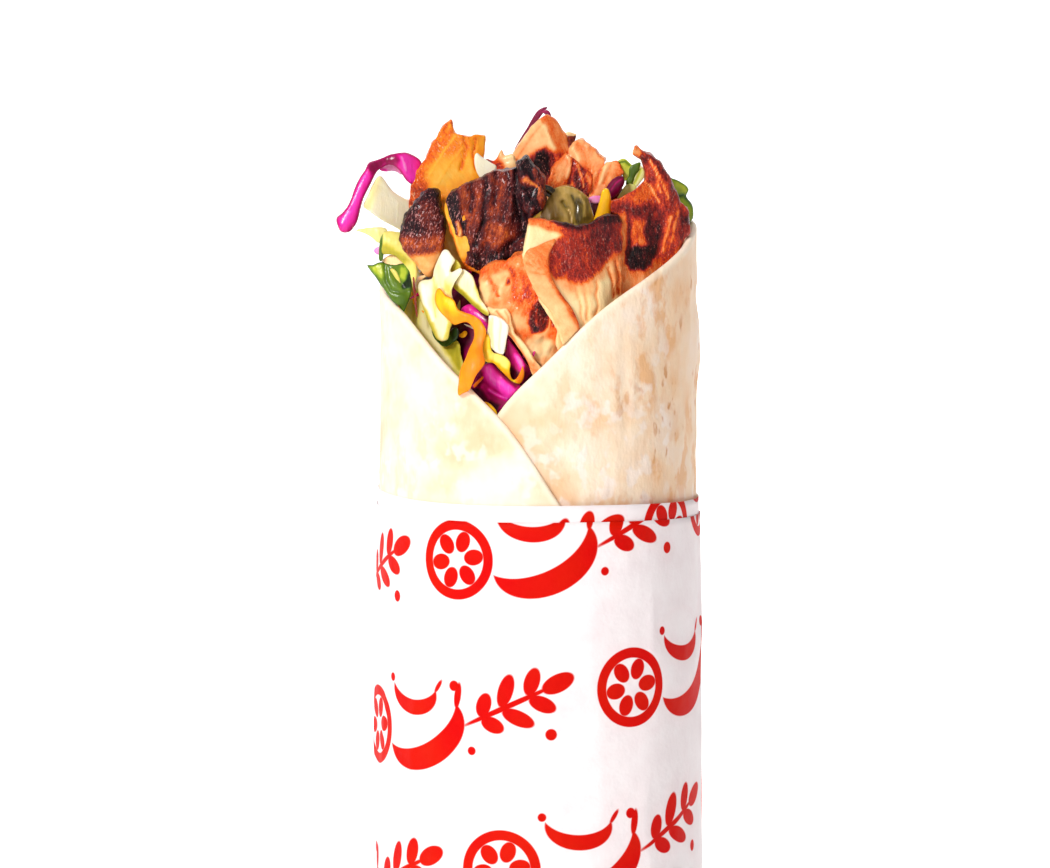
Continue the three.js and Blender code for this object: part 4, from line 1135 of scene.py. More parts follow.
red_cabbage_back: slot=red_cabbage thick=1.2 base=0.46 drift=0.05 craggy=0.05 ragged=0.04 voxel=0.24
 rounded=yes
outline 20 66 29 81 43 86 56 79 72 68 88 57 86 31 84 0 73 20 59 36 40 50
inset 0 3.6 1 4.2
bow 0.8 1.8 30 70 80 30
area 0.88 0.04 52 88 70 74 90 60 90 15 80 35 66 62
area 0.34 0.04 40 72 55 66 75 35 66 34 42 60

red_cabbage_side: slot=red_cabbage thick=1.3 base=0.66 drift=0.05 craggy=0.05 ragged=0.04 voxel=0.24
 rounded=yes
outline 27 79 37 71 53 56 67 41 80 28 93 17 80 3 64 -8 45 -4 34 11 31 30 20 47 23 64
inset 0 3 1 3.4
bow 0.9 1.8 30 70 60 20
area 0.2 0.05 45 50 56 50 70 34 70 18 58 20 46 36
area 0.82 0.03 62 45 95 19 70 -8 72 20
area 0.98 0.03 30 28 45 19 60 15 45 -10 30 6

red_cabbage_front: slot=red_cabbage thick=1.6 base=0.5 drift=0.04 craggy=0.05 ragged=0.04 voxel=0.26
 rounded=yes
outline 12 88 18 90 26 90 33 82 44 71 53 62 68 54 56 40 48 28 36 14 30 4 20 18 4 27 -7 48 -3 57 5 77
inset 0 2.4 1 3.2
bow 1.6 2.4 16 80 56 46
stroke 0.16 0.3 -0.2 20 48 32 40 46 33
area 0.24 0.05 12 86 20 89 32 74 44 61 60 49 50 36 34 46 21 58 14 70
area 0.82 0.03 21 94 33 84 70 56 60 50 44 63 30 78
area 0.66 0.04 9 64 20 52 34 42 47 34 40 20 23 33 9 46
area 0.97 0.03 -10 52 6 49 20 33 36 24 32 0 0 20
area 0.86 0.03 -5 58 5 80 10 76 10 58 4 50

lettuce_side: slot=lettuce thick=0.9 base=0.3 drift=0.05 craggy=0.06 ragged=0.05 voxel=0.28 rounded=yes
outline -5 130 2 121 7 114 8 106 2 101 0 94 -3 86 -8 76 3 64 16 55 34 42 50 31 63 24 68 36 64 48 62 56 52 60
 42 60 36 66 30 76 26 90 18 100 12 113 6 122
inset 0 3 0.7 3.2 1.3 4.6
area 0.68 0.05 5 102 2 89 -6 78 4 70 14 80 10 94
area 0.8 0.04 37 56 49 54 60 60 66 50 64 34 56 36 46 48
area 0.12 0.04 14 84 25 70 37 56 48 46 58 36 50 34 34 48 16 64

red_cabbage_arch: slot=red_cabbage thick=1.5 base=0.46 drift=0.05 craggy=0.06 ragged=0.04 voxel=0.26
 rounded=yes
outline -1 8 5 14 10 21 15 32 19 46 25 61 31 72 35 82 40 84 48 87 57 92 67 95 76 96 83 93 90 88 95 80 95 66
 93 50 83 52 77 58 73 65 69 72 63 78 56 79 51 75 46 72 43 66 39 57 34 45 29 32 26 17 23 3 18 -6 14 -11 8 -12
 3 -9 0 0
rim 0.68 0.6
bow 1.2 2.2 10 0 36 70
bow 1 2.6 70 86 88 60
stroke 0.14 0.3 -0.1 73 90 77 70
stroke 0.2 0.25 0 6 2 14 16
area 0.3 0.05 70 90 76 96 93 85 95 52 82 54 74 66 70 78
area 0.74 0.03 34 85 48 88 67 93 70 85 65 78 55 80 46 72 42 64 36 72
area 0.3 0.05 27 61 33 69 36 62 30 42 21 20 17 0 9 -4 6 8 16 26

pickled_pepper: slot=pickled_pepper thick=6 base=0.44 craggy=0.16 ragged=0.15 ease=14 rounded=yes
outline -2 38 2 52 13 73 26 92 40 97 54 97 73 86 86 76 93 59 99 36 87 16 49 10 12 20
bow 1.2 4 30 50 60 30
stroke 0.74 0.5 0.9 40 66 52 47 59 24
stroke 0 0.22 -0.3 49 52 54 40 56 27
stroke 0.84 0.3 0.4 57 78 64 55 67 27
stroke 0.3 0.25 -0.2 72 80 80 62 82 40
stroke 0.3 0.3 -0.2 24 80 28 60 30 40
area -0.05 0.02 -4 38 0 48 11 60 15 43 14 26 -4 26
area 0.72 0.05 59 78 88 70 98 31 66 22 63 50
area 0.38 0.06 14 70 38 92 54 73 44 59 28 34 17 40

yellow_pepper_strip: slot=yellow_pepper thick=1.6 base=0.66 drift=0.2 craggy=0.04 ragged=0.05 voxel=0.26
 rounded=yes
outline 0 34 11 50 23 69 38 93 55 100 72 96 82 76 79 50 74 28 30 24
bow 0.7 1.6 50 90 40 30

red_cabbage_bit: slot=red_cabbage thick=1.4 base=0.84 drift=0.14 craggy=0.08 ragged=0.08 voxel=0.24
 rounded=yes
outline 40 68 53 86 70 97 87 98 92 84 80 66 62 50 54 46 44 52
bow 0.7 1.6 50 66 80 88
stroke 0.6 0.2 0.1 54 68 68 84 82 92

cucumber_slice: slot=cucumber thick=2 base=0.44 drift=0.06 craggy=0.08 ragged=0.06 voxel=0.26 rounded=yes
outline 30 97 47 94 63 90 83 81 92 72 85 61 100 47 104 29 100 12 87 2 50 5 40 50
rim 0.82 0.4
stroke 0.84 0.4 0.3 62 62 78 63 88 56 100 46
stroke 0.3 0.5 0 60 82 76 76 84 71

rear_slice_left: slot=roast_meat thick=4.6 base=0.46 grain=10 drift=0.3 craggy=0.45 voxel=0.5
outline 0 66 10 80 30 96 45 92 62 100 80 90 100 68 94 40 90 10 50 0 12 4 4 40
wave 0.5 7 0 0
area 0.82 0.12 20 100 80 105 70 60 30 50

rear_slice_right: slot=roast_meat thick=4.6 base=0.4 grain=-10 drift=0.3 craggy=0.45 voxel=0.5
outline 0 84 20 95 40 90 50 100 80 92 95 80 100 40 80 5 40 0 6 6 3 50
wave 0.5 7 20 0
area 0.74 0.12 30 105 100 100 90 50 50 60
""")

# Parts of a piece that lie over or beside its main slice, with the node in whose box they are
# measured (`of`) and the one they stand for, if that is another (`stands_for`).
FOLDS = described("""\
glazed_apron: of=dark_slice slot=glazed_meat thick=3 base=0.24 grain=-20 drift=0.14 craggy=0.2 back=-1.3
outline 3 62 4 50 7 39 11 28 16 18 21 8 26 0 36 -4 40 20 30 40 20 56 10 66
stroke 0.5 0.4 0.3 6 44 12 30 18 16
stroke 0.08 0.3 -0.2 10 40 16 26 20 14
area 0.5 0.03 18 6 24 12 30 2 30 -6 20 -4
wet 0.6 0.05 4 50 14 40 22 16 16 14

pale_strand: of=lower_slice slot=roast_meat thick=1.4 base=0.07 grain=50 craggy=0.25 ragged=0.2 voxel=0.24
 back=-3.4
outline 7 51 12 50 17 50 25 51 29 44 31 34 28 29 25 34 23 37 19 41 14 43 9 45
stroke 0.34 0.2 0.3 16 48 22 42 27 36
stroke 0.3 0.2 0.2 24 48 27 42 29 34

curl_rind: of=cabbage_curl slot=green_leaf thick=1 base=0.8 drift=0.06 craggy=0.05 ragged=0.03 voxel=0.24
 rounded=yes
outline 33 16 41 11 51 8 66 7 75 9 78 15 93 20 103 16 98 8 85 4 76 1 63 0 51 3 38 9
inset 0 1.9 1 1.9
area 0.98 0.04 76 20 105 22 105 5 84 6

curl_inside: of=cabbage_curl slot=lettuce thick=0.8 base=0.6 drift=0.04 craggy=0.05 ragged=0.03 voxel=0.24
 rounded=yes
outline 84 88 97 86 108 79 92 74 76 70 80 79
inset 0 3 1 3.4

curl_torn: of=cabbage_curl slot=roast_meat thick=0.9 base=0.16 drift=0.12 craggy=0.15 ragged=0.15 voxel=0.24
 rounded=yes
outline 24 69 3 68 -12 64 -15 58 -11 53 -2 55 -1 61 10 65
inset 0 2.6 1 2.6

maroon_shadow: of=carrot_ribbon slot=red_cabbage stands_for=red_cabbage_back thick=1 base=0.96 drift=0.04
 craggy=0.05 ragged=0.03 voxel=0.26 rounded=yes
outline 24 62 42 70 64 72 78 64 74 50 60 36 48 26 42 40 42 50 34 54
inset 0 4.6 1 4.6
area 0.76 0.04 60 70 74 70 78 54 60 34 50 30 52 40 64 52

tan_bit: of=carrot_ribbon slot=carrot stands_for=red_cabbage_back thick=0.7 base=0.55 craggy=0.05
 ragged=0.03 voxel=0.2 rounded=yes
outline 41 55 46 57 55 60 60 58 56 54 48 53
inset 0 3.6 1 3.6

orange_sliver: of=red_cabbage_front slot=carrot thick=0.8 base=0.85 drift=0.05 craggy=0.05 ragged=0.03
 voxel=0.2 rounded=yes
outline -5 54 2 62 10 70 11 66 5 58 -3 49
inset 0 1.2 1 1.2

yellow_sliver: of=red_cabbage_front slot=carrot thick=0.8 base=0.36 drift=0.05 craggy=0.05 ragged=0.03
 voxel=0.2 rounded=yes
outline 10 27 17 27 25 21 31 12 31 4 22 12 12 22
inset 0 1 1 1

arch_underside: of=red_cabbage_arch slot=red_cabbage thick=0.8 base=0.08 drift=0.06 craggy=0.03 ragged=0.03
 voxel=0.24 back=1.4 rounded=yes
outline 47 72 55 80 61 82 68 78 72 70 72 64 67 68 61 70 54 69
area 0.4 0.03 46 74 54 74 54 66 46 66

leaf_hollow: of=onion_leaf slot=lettuce thick=0.8 base=0.5 craggy=0.05 ragged=0.04 voxel=0.22 back=-0.6
 rounded=yes
outline 45 80 52 82 60 77 66 66 69 53 64 44 58 43 52 51 47 64

pink_onion: of=lettuce_tip slot=roast_meat thick=0.9 base=0.09 drift=0.04 craggy=0.05 ragged=0.03 voxel=0.24
 back=0.4 rounded=yes
outline 38 46 46 53 53 56 61 54 69 47 78 38 64 36 52 36 42 38

pink_bit: of=lettuce_tip slot=red_cabbage stands_for=red_cabbage_arch thick=0.8 base=0.14 craggy=0.05
 ragged=0.05 voxel=0.22 rounded=yes
outline 26 62 30 67 36 69 38 64 37 56 30 56

torn_lobe: of=torn_slice slot=roast_meat thick=2.6 base=0.3 grain=-30 craggy=0.3 back=-1.8
outline 45 65 56 71 66 78 77 79 87 79 94 72 96 66 87 60 75 53 66 46 58 40 45 34 37 35 37 43 43 51
stroke 0.5 0.3 0.4 58 69 52 57 43 43
stroke 0.08 0.25 -0.3 66 72 62 62 56 54
stroke 0.36 0.3 0.3 76 76 72 64 64 54
area 0.42 0.05 79 82 98 78 98 62 79 54 76 64 83 72

torn_flap: of=torn_slice slot=roast_meat thick=2.8 base=0.42 grain=24 craggy=0.3 ragged=0.3 back=-2
outline -22 72 -18 77 -10 80 1 87 10 82 18 78 35 69 43 64 46 56 41 46 35 39 20 34 3 34 -18 38 -31 44 -33 58
stroke 0.16 0.3 -0.3 4 84 6 74 0 60
stroke 0.7 0.35 0.5 12 80 10 66 2 50
stroke 0.2 0.25 -0.2 20 74 26 62 30 50
area 0.25 0.05 -16 76 0 82 4 68 -10 56 -22 58
area 0.76 0.05 16 74 26 72 41 63 43 51 35 39 20 44 11 57
area 0.3 0.05 34 64 44 60 42 48 36 44

pale_corner: of=pale_slice slot=roast_meat thick=1.4 base=0.08 craggy=0.1 ragged=0.15 back=-0.8
outline 86 85 93 87 108 84 101 82 93 82

brown_notch: of=pale_slice slot=charred_meat thick=1.8 base=0.72 craggy=0.15 ragged=0.15 back=-0.5
outline 93 84 101 83 108 84 102 76 96 69 92 73

char_crumb: of=dark_slice slot=charred_meat thick=2.6 base=0.93 craggy=0.5 ragged=0.3 back=-2.6
outline 72 101 77 102 81 97 87 96 85 89 78 87 74 93

pepper_stalk: of=pickled_pepper slot=pickled_pepper thick=1.2 base=0.9 drift=0.06 craggy=0.15 ragged=0.1
 voxel=0.24 back=-2.4 rounded=yes
outline -22 106 -7 104 12 98 26 88 26 70 12 74 -2 86 -16 95
stroke 0.6 0.2 -0.2 -14 100 4 92 20 82
stroke 0.98 0.2 0.3 -12 94 6 84 22 74

lilac_bit: of=red_cabbage_bit slot=red_cabbage thick=0.8 base=0.08 craggy=0.05 ragged=0.05 voxel=0.22
 rounded=yes
outline -7 50 6 55 28 55 28 42 6 38 -6 44

maroon_bit: of=red_cabbage_bit slot=red_cabbage thick=0.8 base=0.86 craggy=0.05 ragged=0.05 voxel=0.22
 back=0.6 rounded=yes
outline -4 44 28 44 24 22 6 12

brown_edge: of=pale_slice slot=roast_meat thick=2.4 base=0.2 grain=80 craggy=0.3 ragged=0.35 back=-1
outline -35 62 -24 60 -14 63 -10 70 -5 63 8 66 16 50 0 30 -30 30 -40 45
area 0.56 0.05 -40 66 -10 60 2 50 0 30 -40 30
area 0.08 0.03 -10 62 10 68 14 56 0 55

char_flake: of=dark_slice slot=charred_meat thick=3.6 base=0.84 grain=10 drift=0.3 craggy=0.55 back=-2
outline 72 100 80 104 90 94 96 80 100 66 94 54 84 48 78 54 74 64 76 80
stroke 0.34 0.5 -0.3 78 83 88 79 93 73
stroke 0.96 0.5 0.8 74 80 86 70 92 56
stroke 0.6 0.6 -0.5 88 92 94 78 96 66
area 0.95 0.03 70 106 84 106 84 92 74 92
area 0.62 0.04 86 72 96 76 100 60 92 56

front_fold: of=front_slice slot=roast_meat thick=1.5 base=0.23 grain=-40 drift=0.03 craggy=0.05 ragged=0.05
 voxel=0.28 back=-1.9 rounded=yes
outline 8 77 4 71 5 65 9 57 13 50 18 43 25 37 30 31 34 21 42 8 58 8 54 23 47 36 37 47 30 57 27 65 27 74 33
 84 26 83 15 79
stroke 0.36 0.25 0.15 7 67 16 64 24 65
stroke 0.33 0.2 0.1 10 62 18 60 25 60
area 0.34 0.05 2 80 36 92 30 74 26 64 3 66
area 0.14 0.06 26 44 40 40 60 6 40 0
area 0.42 0.02 24 70 24 60 34 46 50 26 60 10 62 20 44 44 32 60 30 74 36 86

leaf_point: of=lettuce_tip slot=lettuce thick=0.9 base=0.2 drift=0.06 craggy=0.05 ragged=0.04 voxel=0.26
 rounded=yes
outline -2 93 10 96 21 98 36 99 47 94 44 79 35 73 30 76 23 82 12 88
crease 0.25 30 100 36 70

leaf_blade: of=lettuce_tip slot=lettuce thick=0.9 base=0.36 drift=0.06 craggy=0.08 ragged=0.05 voxel=0.26
 back=-0.6 rounded=yes
outline 41 91 49 93 61 92 71 89 74 74 82 60 90 45 93 25 87 5 82 22 78 34 72 42 65 49 58 55 49 57 38 57 40 74
bow 0.9 3 40 80 80 70
area 0.74 0.05 38 72 52 69 68 63 84 46 72 42 58 52 36 55

herb_skin: of=herb_piece slot=green_leaf thick=1.4 base=0.7 drift=0.08 craggy=0.08 ragged=0.05 voxel=0.24
 rounded=yes
outline 51 77 65 86 85 91 82 73 71 62 59 41 48 34 41 46 49 62

herb_flesh: of=herb_piece slot=green_leaf thick=1.6 base=0.06 drift=0.08 craggy=0.08 ragged=0.05 voxel=0.24
 back=0.3 rounded=yes
outline 66 60 80 82 90 80 98 64 84 46 68 33 50 28 58 42
stroke 0.26 0.3 0.2 84 74 76 56 62 38

herb_tip: of=herb_piece slot=green_leaf thick=1.6 base=0.27 drift=0.12 craggy=0.08 ragged=0.06 voxel=0.24
 back=0.5 rounded=yes
outline 16 92 36 98 54 88 62 80 54 60 38 48 30 66 26 84
stroke 0.6 0.25 0.2 22 90 40 92 52 84

herb_base: of=herb_piece slot=green_leaf thick=1.6 base=0.14 drift=0.14 craggy=0.08 ragged=0.06 voxel=0.24
 back=-0.4 rounded=yes
outline 14 8 30 30 44 42 68 40 74 24 62 6 38 2
""")

# ---- Shreds: strips along a curve seen from the front ----
ALONG_STEPS = 56
ROUND_STEPS = 16
SHRED_TIP = 1.0  # how near its ends a shred begins to taper
SHRED_LUMPS = 0.1
# Places round a flat strip with nearly square edges: share across, share out.
ROUND_STRIP = [(1, -0.5), (1, 0.5), (0.92, 1), (0.6, 1), (0.2, 1), (-0.2, 1), (-0.6, 1), (-0.92, 1)]
ROUND_STRIP += [(-across, -out) for across, out in ROUND_STRIP]


def make_shred(name, node, spec):
    """A shred of `thick` flesh along `keys` of (share across, share up, width).

    It lies as its solid does, or at `depths`, which are shares of its box from front to back.
    `cup` bends its two edges back, and `face` is where its broad side looks at its two ends."""
    if "depths" in spec:
        low, high = corners(node)
        depths = [low[1] + share * (high[1] - low[1]) for share in spec["depths"]]
    else:
        lie = lie_of(node)
        depths = [float(lie(*in_box(node, u, w))) for u, w, _ in spec["keys"]]
    spine = []
    for (u, w, width), y in zip(spec["keys"], depths):
        x, z = in_box(node, u, w)
        spine.append((x, y + spec.get("back", 0.0), z, width))
    line = curve_through(spine, ALONG_STEPS)
    along = np.linspace(0.0, 1.0, ALONG_STEPS + 1)
    tangent = np.gradient(line[:, :3], axis=0)
    tangent /= np.linalg.norm(tangent, axis=1, keepdims=True)
    face = spec.get("face", ((0.0, -1.0, 0.1), (0.0, -1.0, 0.1)))
    looks = np.outer(1 - along, face[0]) + np.outer(along, face[1])
    looks -= np.sum(looks * tangent, axis=1, keepdims=True) * tangent
    looks /= np.linalg.norm(looks, axis=1, keepdims=True)
    side = np.cross(tangent, looks)
    length = np.linalg.norm(np.diff(line[:, :3], axis=0), axis=1).sum()
    end = np.minimum(along, 1 - along) * length
    closing = np.sqrt(np.clip(1 - (1 - np.minimum(end / SHRED_TIP, 1)) ** 2, 0.0025, 1))
    across, out = np.array(ROUND_STRIP, float).T
    half = (line[:, 3] / 2 * closing)[:, None]
    thick = spec["thick"] / 2 * closing[:, None]
    bow = -spec.get("cup", 0.0) * across[None, :] ** 2 * (half / 2.0)
    offset = across[None, :, None] * half[..., None] * side[:, None, :]
    offset = offset + (out[None, :] * thick + bow)[..., None] * looks[:, None, :]
    points = (line[:, None, :3] + offset).reshape(-1, 3)
    faces = grid_faces(ALONG_STEPS + 1, ROUND_STEPS, closed=True)
    seed = sum(map(ord, name))
    points = points + normals_of(points, faces) * (SHRED_LUMPS * rough(points, 2.4, seed))[:, None]
    caps = []
    for row, turned in ((0, True), (ALONG_STEPS, False)):
        ring = row * ROUND_STEPS + np.arange(ROUND_STEPS)
        for k in range(0, ROUND_STEPS - 3, 2):
            quad = ring[[0, k + 1, k + 2, k + 3]]
            caps.append(quad[::-1] if turned else quad)
    faces = np.vstack([faces, caps])[:, ::-1]
    share = np.repeat(along, ROUND_STEPS)
    tone = np.interp(share, *np.array(spec["tones"], float).T) + 0.08 * rough(points, 3.0, seed + 4)
    edge = np.tile(across, ALONG_STEPS + 1) * np.repeat(half[:, 0], ROUND_STEPS)
    grain = np.stack([edge, np.tile(out, ALONG_STEPS + 1), share * length], axis=1)
    make_piece(name, points, faces, spec["slot"], node, {"tone": tone, "grain": grain})


FACING_BACK = (0.0, 1.0, 0.6)
FACING_UP = (0.0, 0.6, 1.0)

SHREDS = {
    "red_cabbage_tip": dict(
        slot="red_cabbage", thick=1.1, tones=[(0, 0.8), (1, 0.72)], back=-0.6,
        depths=[0.2, 0.3, 0.4, 0.5, 0.6, 0.8],
        keys=[(0.98, 1.0, 0.4), (0.84, 0.95, 1.1), (0.7, 0.86, 1.2), (0.56, 0.73, 1.2),
              (0.42, 0.63, 1.2), (0.22, 0.46, 0.9)],
    ),
    "rear_lettuce": dict(
        slot="lettuce", thick=1.1, cup=0.5, tones=[(0, 0.5), (0.5, 0.3), (1, 0.6)],
        depths=[0.05, 0.66, 0.9, 1.0], face=(FACING_BACK, FACING_BACK),
        keys=[(0.03, 0.1, 5.0), (0.3, 0.84, 6.0), (0.66, 0.74, 6.0), (0.96, 0.15, 5.0)],
    ),
    "rear_red_cabbage": dict(
        slot="red_cabbage", thick=1.6, cup=0.3, tones=[(0, 0.5), (0.5, 0.26), (1, 0.6)],
        depths=[0.9, 0.75, 0.5, 0.1], face=(FACING_UP, FACING_UP),
        keys=[(0.05, 0.03, 3.4), (0.36, 0.92, 3.6), (0.7, 0.75, 3.6), (0.95, 0.03, 3.2)],
    ),
    "rear_carrot": dict(
        slot="carrot", thick=1.3, cup=0.2, tones=[(0, 0.5), (0.5, 0.3), (1, 0.7)],
        depths=[0.05, 0.4, 0.75, 0.95], face=((0.0, 0.3, 1.0), FACING_UP),
        keys=[(0.26, 0.2, 3.0), (0.14, 0.88, 3.4), (0.55, 0.7, 3.4), (0.9, 0.04, 3.0)],
    ),
    # Smaller ones tucked in beside those, with the node whose box they are measured in.
    "brown_thread": dict(
        of="cabbage_curl", slot="charred_meat", thick=0.5, back=-0.8, tones=[(0, 0.6), (1, 0.66)],
        keys=[(-0.12, 0.68, 0.4), (-0.08, 0.5, 0.5), (-0.02, 0.28, 0.4)],
    ),
    "leaf_stem": dict(
        of="lettuce_tip", slot="green_leaf", thick=0.9, back=-0.8, tones=[(0, 0.62), (1, 0.72)],
        keys=[(0.43, 0.92, 0.4), (0.39, 0.75, 0.9), (0.37, 0.46, 0.9)],
    ),
    "tip_shred": dict(
        of="red_cabbage_tip", slot="red_cabbage", thick=0.8, back=-1.4, depths=[0.2, 0.2, 0.2],
        tones=[(0, 0.7), (1, 0.84)], keys=[(0.86, 0.95, 0.6), (0.98, 0.93, 1.1), (1.05, 0.84, 0.8)],
    ),
}


# ---- What fills the roll ----
HEAP_VOXEL = 1.3
HEAP_EASE = 3


def make_heap(name, node, slot, base):
    """The body of the filling, drawn in a little behind the pieces that lie on it."""
    bm = bmesh.new()
    bm.from_mesh(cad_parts[node].data)
    bmesh.ops.scale(bm, verts=bm.verts, vec=Vector((1 / MM,) * 3))
    bmesh.ops.remove_doubles(bm, verts=bm.verts, dist=1e-4)
    points, faces = remeshed(bm, HEAP_VOXEL, HEAP_EASE)
    sunk = 1.0 - 0.9 * rough(points, 4.5, 31) - 0.5 * rough(points, 1.8, 35, 2)
    points = points - normals_of(points, faces) * sunk[:, None]
    points[:, 2] = np.maximum(points[:, 2], BREAD_FOOT + BREAD_THICK)
    tone = base + 0.25 * rough(points, 4.0, 37)
    return make_piece(name, points, faces, slot, node, {"tone": tone, "grain": points})


def strewn_tree():
    """Pieces strewn over the upper side of a heap, each turned and sized at random."""
    tree = bpy.data.node_groups.new("strewn_pieces", "GeometryNodeTree")
    sockets = [
        ("Heap", "NodeSocketGeometry"),
        ("Piece", "NodeSocketObject"),
        ("Per square metre", "NodeSocketFloat"),
        ("Least apart", "NodeSocketFloat"),
        ("Lowest height", "NodeSocketFloat"),
        ("Smallest", "NodeSocketFloat"),
        ("Largest", "NodeSocketFloat"),
        ("Tilt", "NodeSocketFloat"),
        ("Seed", "NodeSocketInt"),
        ("Finish", "NodeSocketMaterial"),
    ]
    for name, kind in sockets:
        tree.interface.new_socket(name, in_out="INPUT", socket_type=kind)
    tree.interface.new_socket("Strewn", in_out="OUTPUT", socket_type="NodeSocketGeometry")

    def node(kind, inputs=None, **options):
        made = tree.nodes.new(kind)
        for option, value in options.items():
            setattr(made, option, value)
        for socket, value in (inputs or {}).items():
            if isinstance(value, bpy.types.NodeSocket):
                tree.links.new(value, made.inputs[socket])
            else:
                made.inputs[socket].default_value = value
        return made

    given = node("NodeGroupInput").outputs
    place = node("ShaderNodeSeparateXYZ", {0: node("GeometryNodeInputPosition").outputs[0]})
    looks = node("ShaderNodeSeparateXYZ", {0: node("GeometryNodeInputNormal").outputs[0]})
    high = node("FunctionNodeCompare", {0: place.outputs["Z"], 1: given["Lowest height"]},
                data_type="FLOAT", operation="GREATER_THAN")
    upward = node("FunctionNodeCompare", {0: looks.outputs["Z"], 1: 0.15},
                  data_type="FLOAT", operation="GREATER_THAN")
    both = node("FunctionNodeBooleanMath", {0: high.outputs[0], 1: upward.outputs[0]})
    spread = node(
        "GeometryNodeDistributePointsOnFaces",
        {"Mesh": given["Heap"], "Selection": both.outputs[0], "Density Max": given["Per square metre"],
         "Distance Min": given["Least apart"], "Seed": given["Seed"]},
        distribute_method="POISSON",
    )
    back = node("ShaderNodeMath", {0: given["Tilt"], 1: -1.0}, operation="MULTIPLY")
    least = node("ShaderNodeCombineXYZ", {0: back.outputs[0], 1: back.outputs[0], 2: 0.0})
    most = node("ShaderNodeCombineXYZ", {0: given["Tilt"], 1: given["Tilt"], 2: 2 * math.pi})
    spin = node("FunctionNodeRandomValue", {0: least.outputs[0], 1: most.outputs[0], "Seed": given["Seed"]},
                data_type="FLOAT_VECTOR")
    turned = node("FunctionNodeEulerToRotation", {0: spin.outputs[0]})
    rotation = node("FunctionNodeRotateRotation",
                    {0: spread.outputs["Rotation"], 1: turned.outputs[0]}, rotation_space="LOCAL")
    sizes = {2: given["Smallest"], 3: given["Largest"], "Seed": given["Seed"]}
    size = node("FunctionNodeRandomValue", sizes, data_type="FLOAT")
    shape = node("GeometryNodeObjectInfo", {"Object": given["Piece"]})
    strewn = node(
        "GeometryNodeInstanceOnPoints",
        {"Points": spread.outputs["Points"], "Instance": shape.outputs["Geometry"],
         "Rotation": rotation.outputs[0], "Scale": size.outputs[1]},
    )
    real = node("GeometryNodeRealizeInstances", {0: strewn.outputs[0]})
    done = node("GeometryNodeSetMaterial", {0: real.outputs[0], "Material": given["Finish"]})
    node("NodeGroupOutput", {0: done.outputs[0]})
    return tree


def strew(name, heap, node, slot, tree, shape, values):
    """One kind of piece strewn over a heap, as a plain mesh."""
    holder = bpy.data.objects.new(name, heap.data.copy())
    bpy.context.scene.collection.objects.link(holder)
    modifier = holder.modifiers.new("strewn", "NODES")
    modifier.node_group = tree
    values = {"Piece": shape, "Finish": finishes[slot], **values}
    for item in tree.interface.items_tree:
        if item.in_out == "INPUT" and item.name in values:
            modifier[item.identifier] = values[item.name]
    depsgraph = bpy.context.evaluated_depsgraph_get()
    mesh = bpy.data.meshes.new_from_object(holder.evaluated_get(depsgraph))
    mesh.name = name
    holder.modifiers.remove(modifier)
    holder.data = mesh
    places = np.empty(3 * len(mesh.vertices), dtype=np.float32)
    mesh.vertices.foreach_get("co", places)
    places = kept_inside(places.reshape(-1, 3) / MM) * MM
    mesh.vertices.foreach_set("co", places.astype(np.float32).ravel())
    mesh.update()
    mesh.shade_smooth()
    bpy.data.objects.remove(shape)
    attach(holder, "root")
    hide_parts(node)


def small_shred(name, length, width, thick, curl, tone):
    """One curled shred, for strewing: a few dozen faces round the middle of the frame."""
    steps, around = 9, 6
    t = np.linspace(-0.5, 0.5, steps)[:, None]
    angle = np.linspace(0, 2 * np.pi, around, endpoint=False)[None, :]
    bend = curl * (4 * t * t - 0.4)
    end = np.sqrt(np.clip(1.02 - 4 * t * t, 0.02, 1))
    x = length * t + 0 * angle
    y = width / 2 * end * np.cos(angle) + 0.25 * length * curl / 4 * np.sin(5 * t)
    z = thick / 2 * np.sin(angle) * end + bend
    points = np.stack([x, y, z], axis=-1).reshape(-1, 3)
    faces = grid_faces(steps, around, closed=True)
    ends = [np.array([0, 1, 2, 3]), np.array([0, 3, 4, 5])]
    last = (steps - 1) * around
    faces = np.vstack([faces, [e[::-1] for e in ends], [e + last for e in ends]])[:, ::-1]
    mesh = bpy.data.meshes.new(name)
    mesh.from_pydata((points * MM).tolist(), [], faces.tolist())
    layer = mesh.attributes.new("tone", "FLOAT", "POINT")
    layer.data.foreach_set("value", (tone + 0.15 * rough(points, 3.0, 3)).astype(np.float32))
    grain = mesh.attributes.new("grain", "FLOAT_VECTOR", "POINT")
    grain.data.foreach_set("vector", points[:, [1, 2, 0]].astype(np.float32).ravel())
    made = bpy.data.objects.new(name, mesh)
    bpy.context.scene.collection.objects.link(made)
    return made


# ---- The stage ----
AIM_HEIGHT = 0.6713  # share of the wrap's height at which the camera looks
CAMERA_AWAY = 1.0
CAMERA_RAISED = 5.0
CAMERA_LENS = 163.66
FLOOR_REACH = (6.0, 5.0, 1.5)  # the floor's half width, and the wall's distance and bend


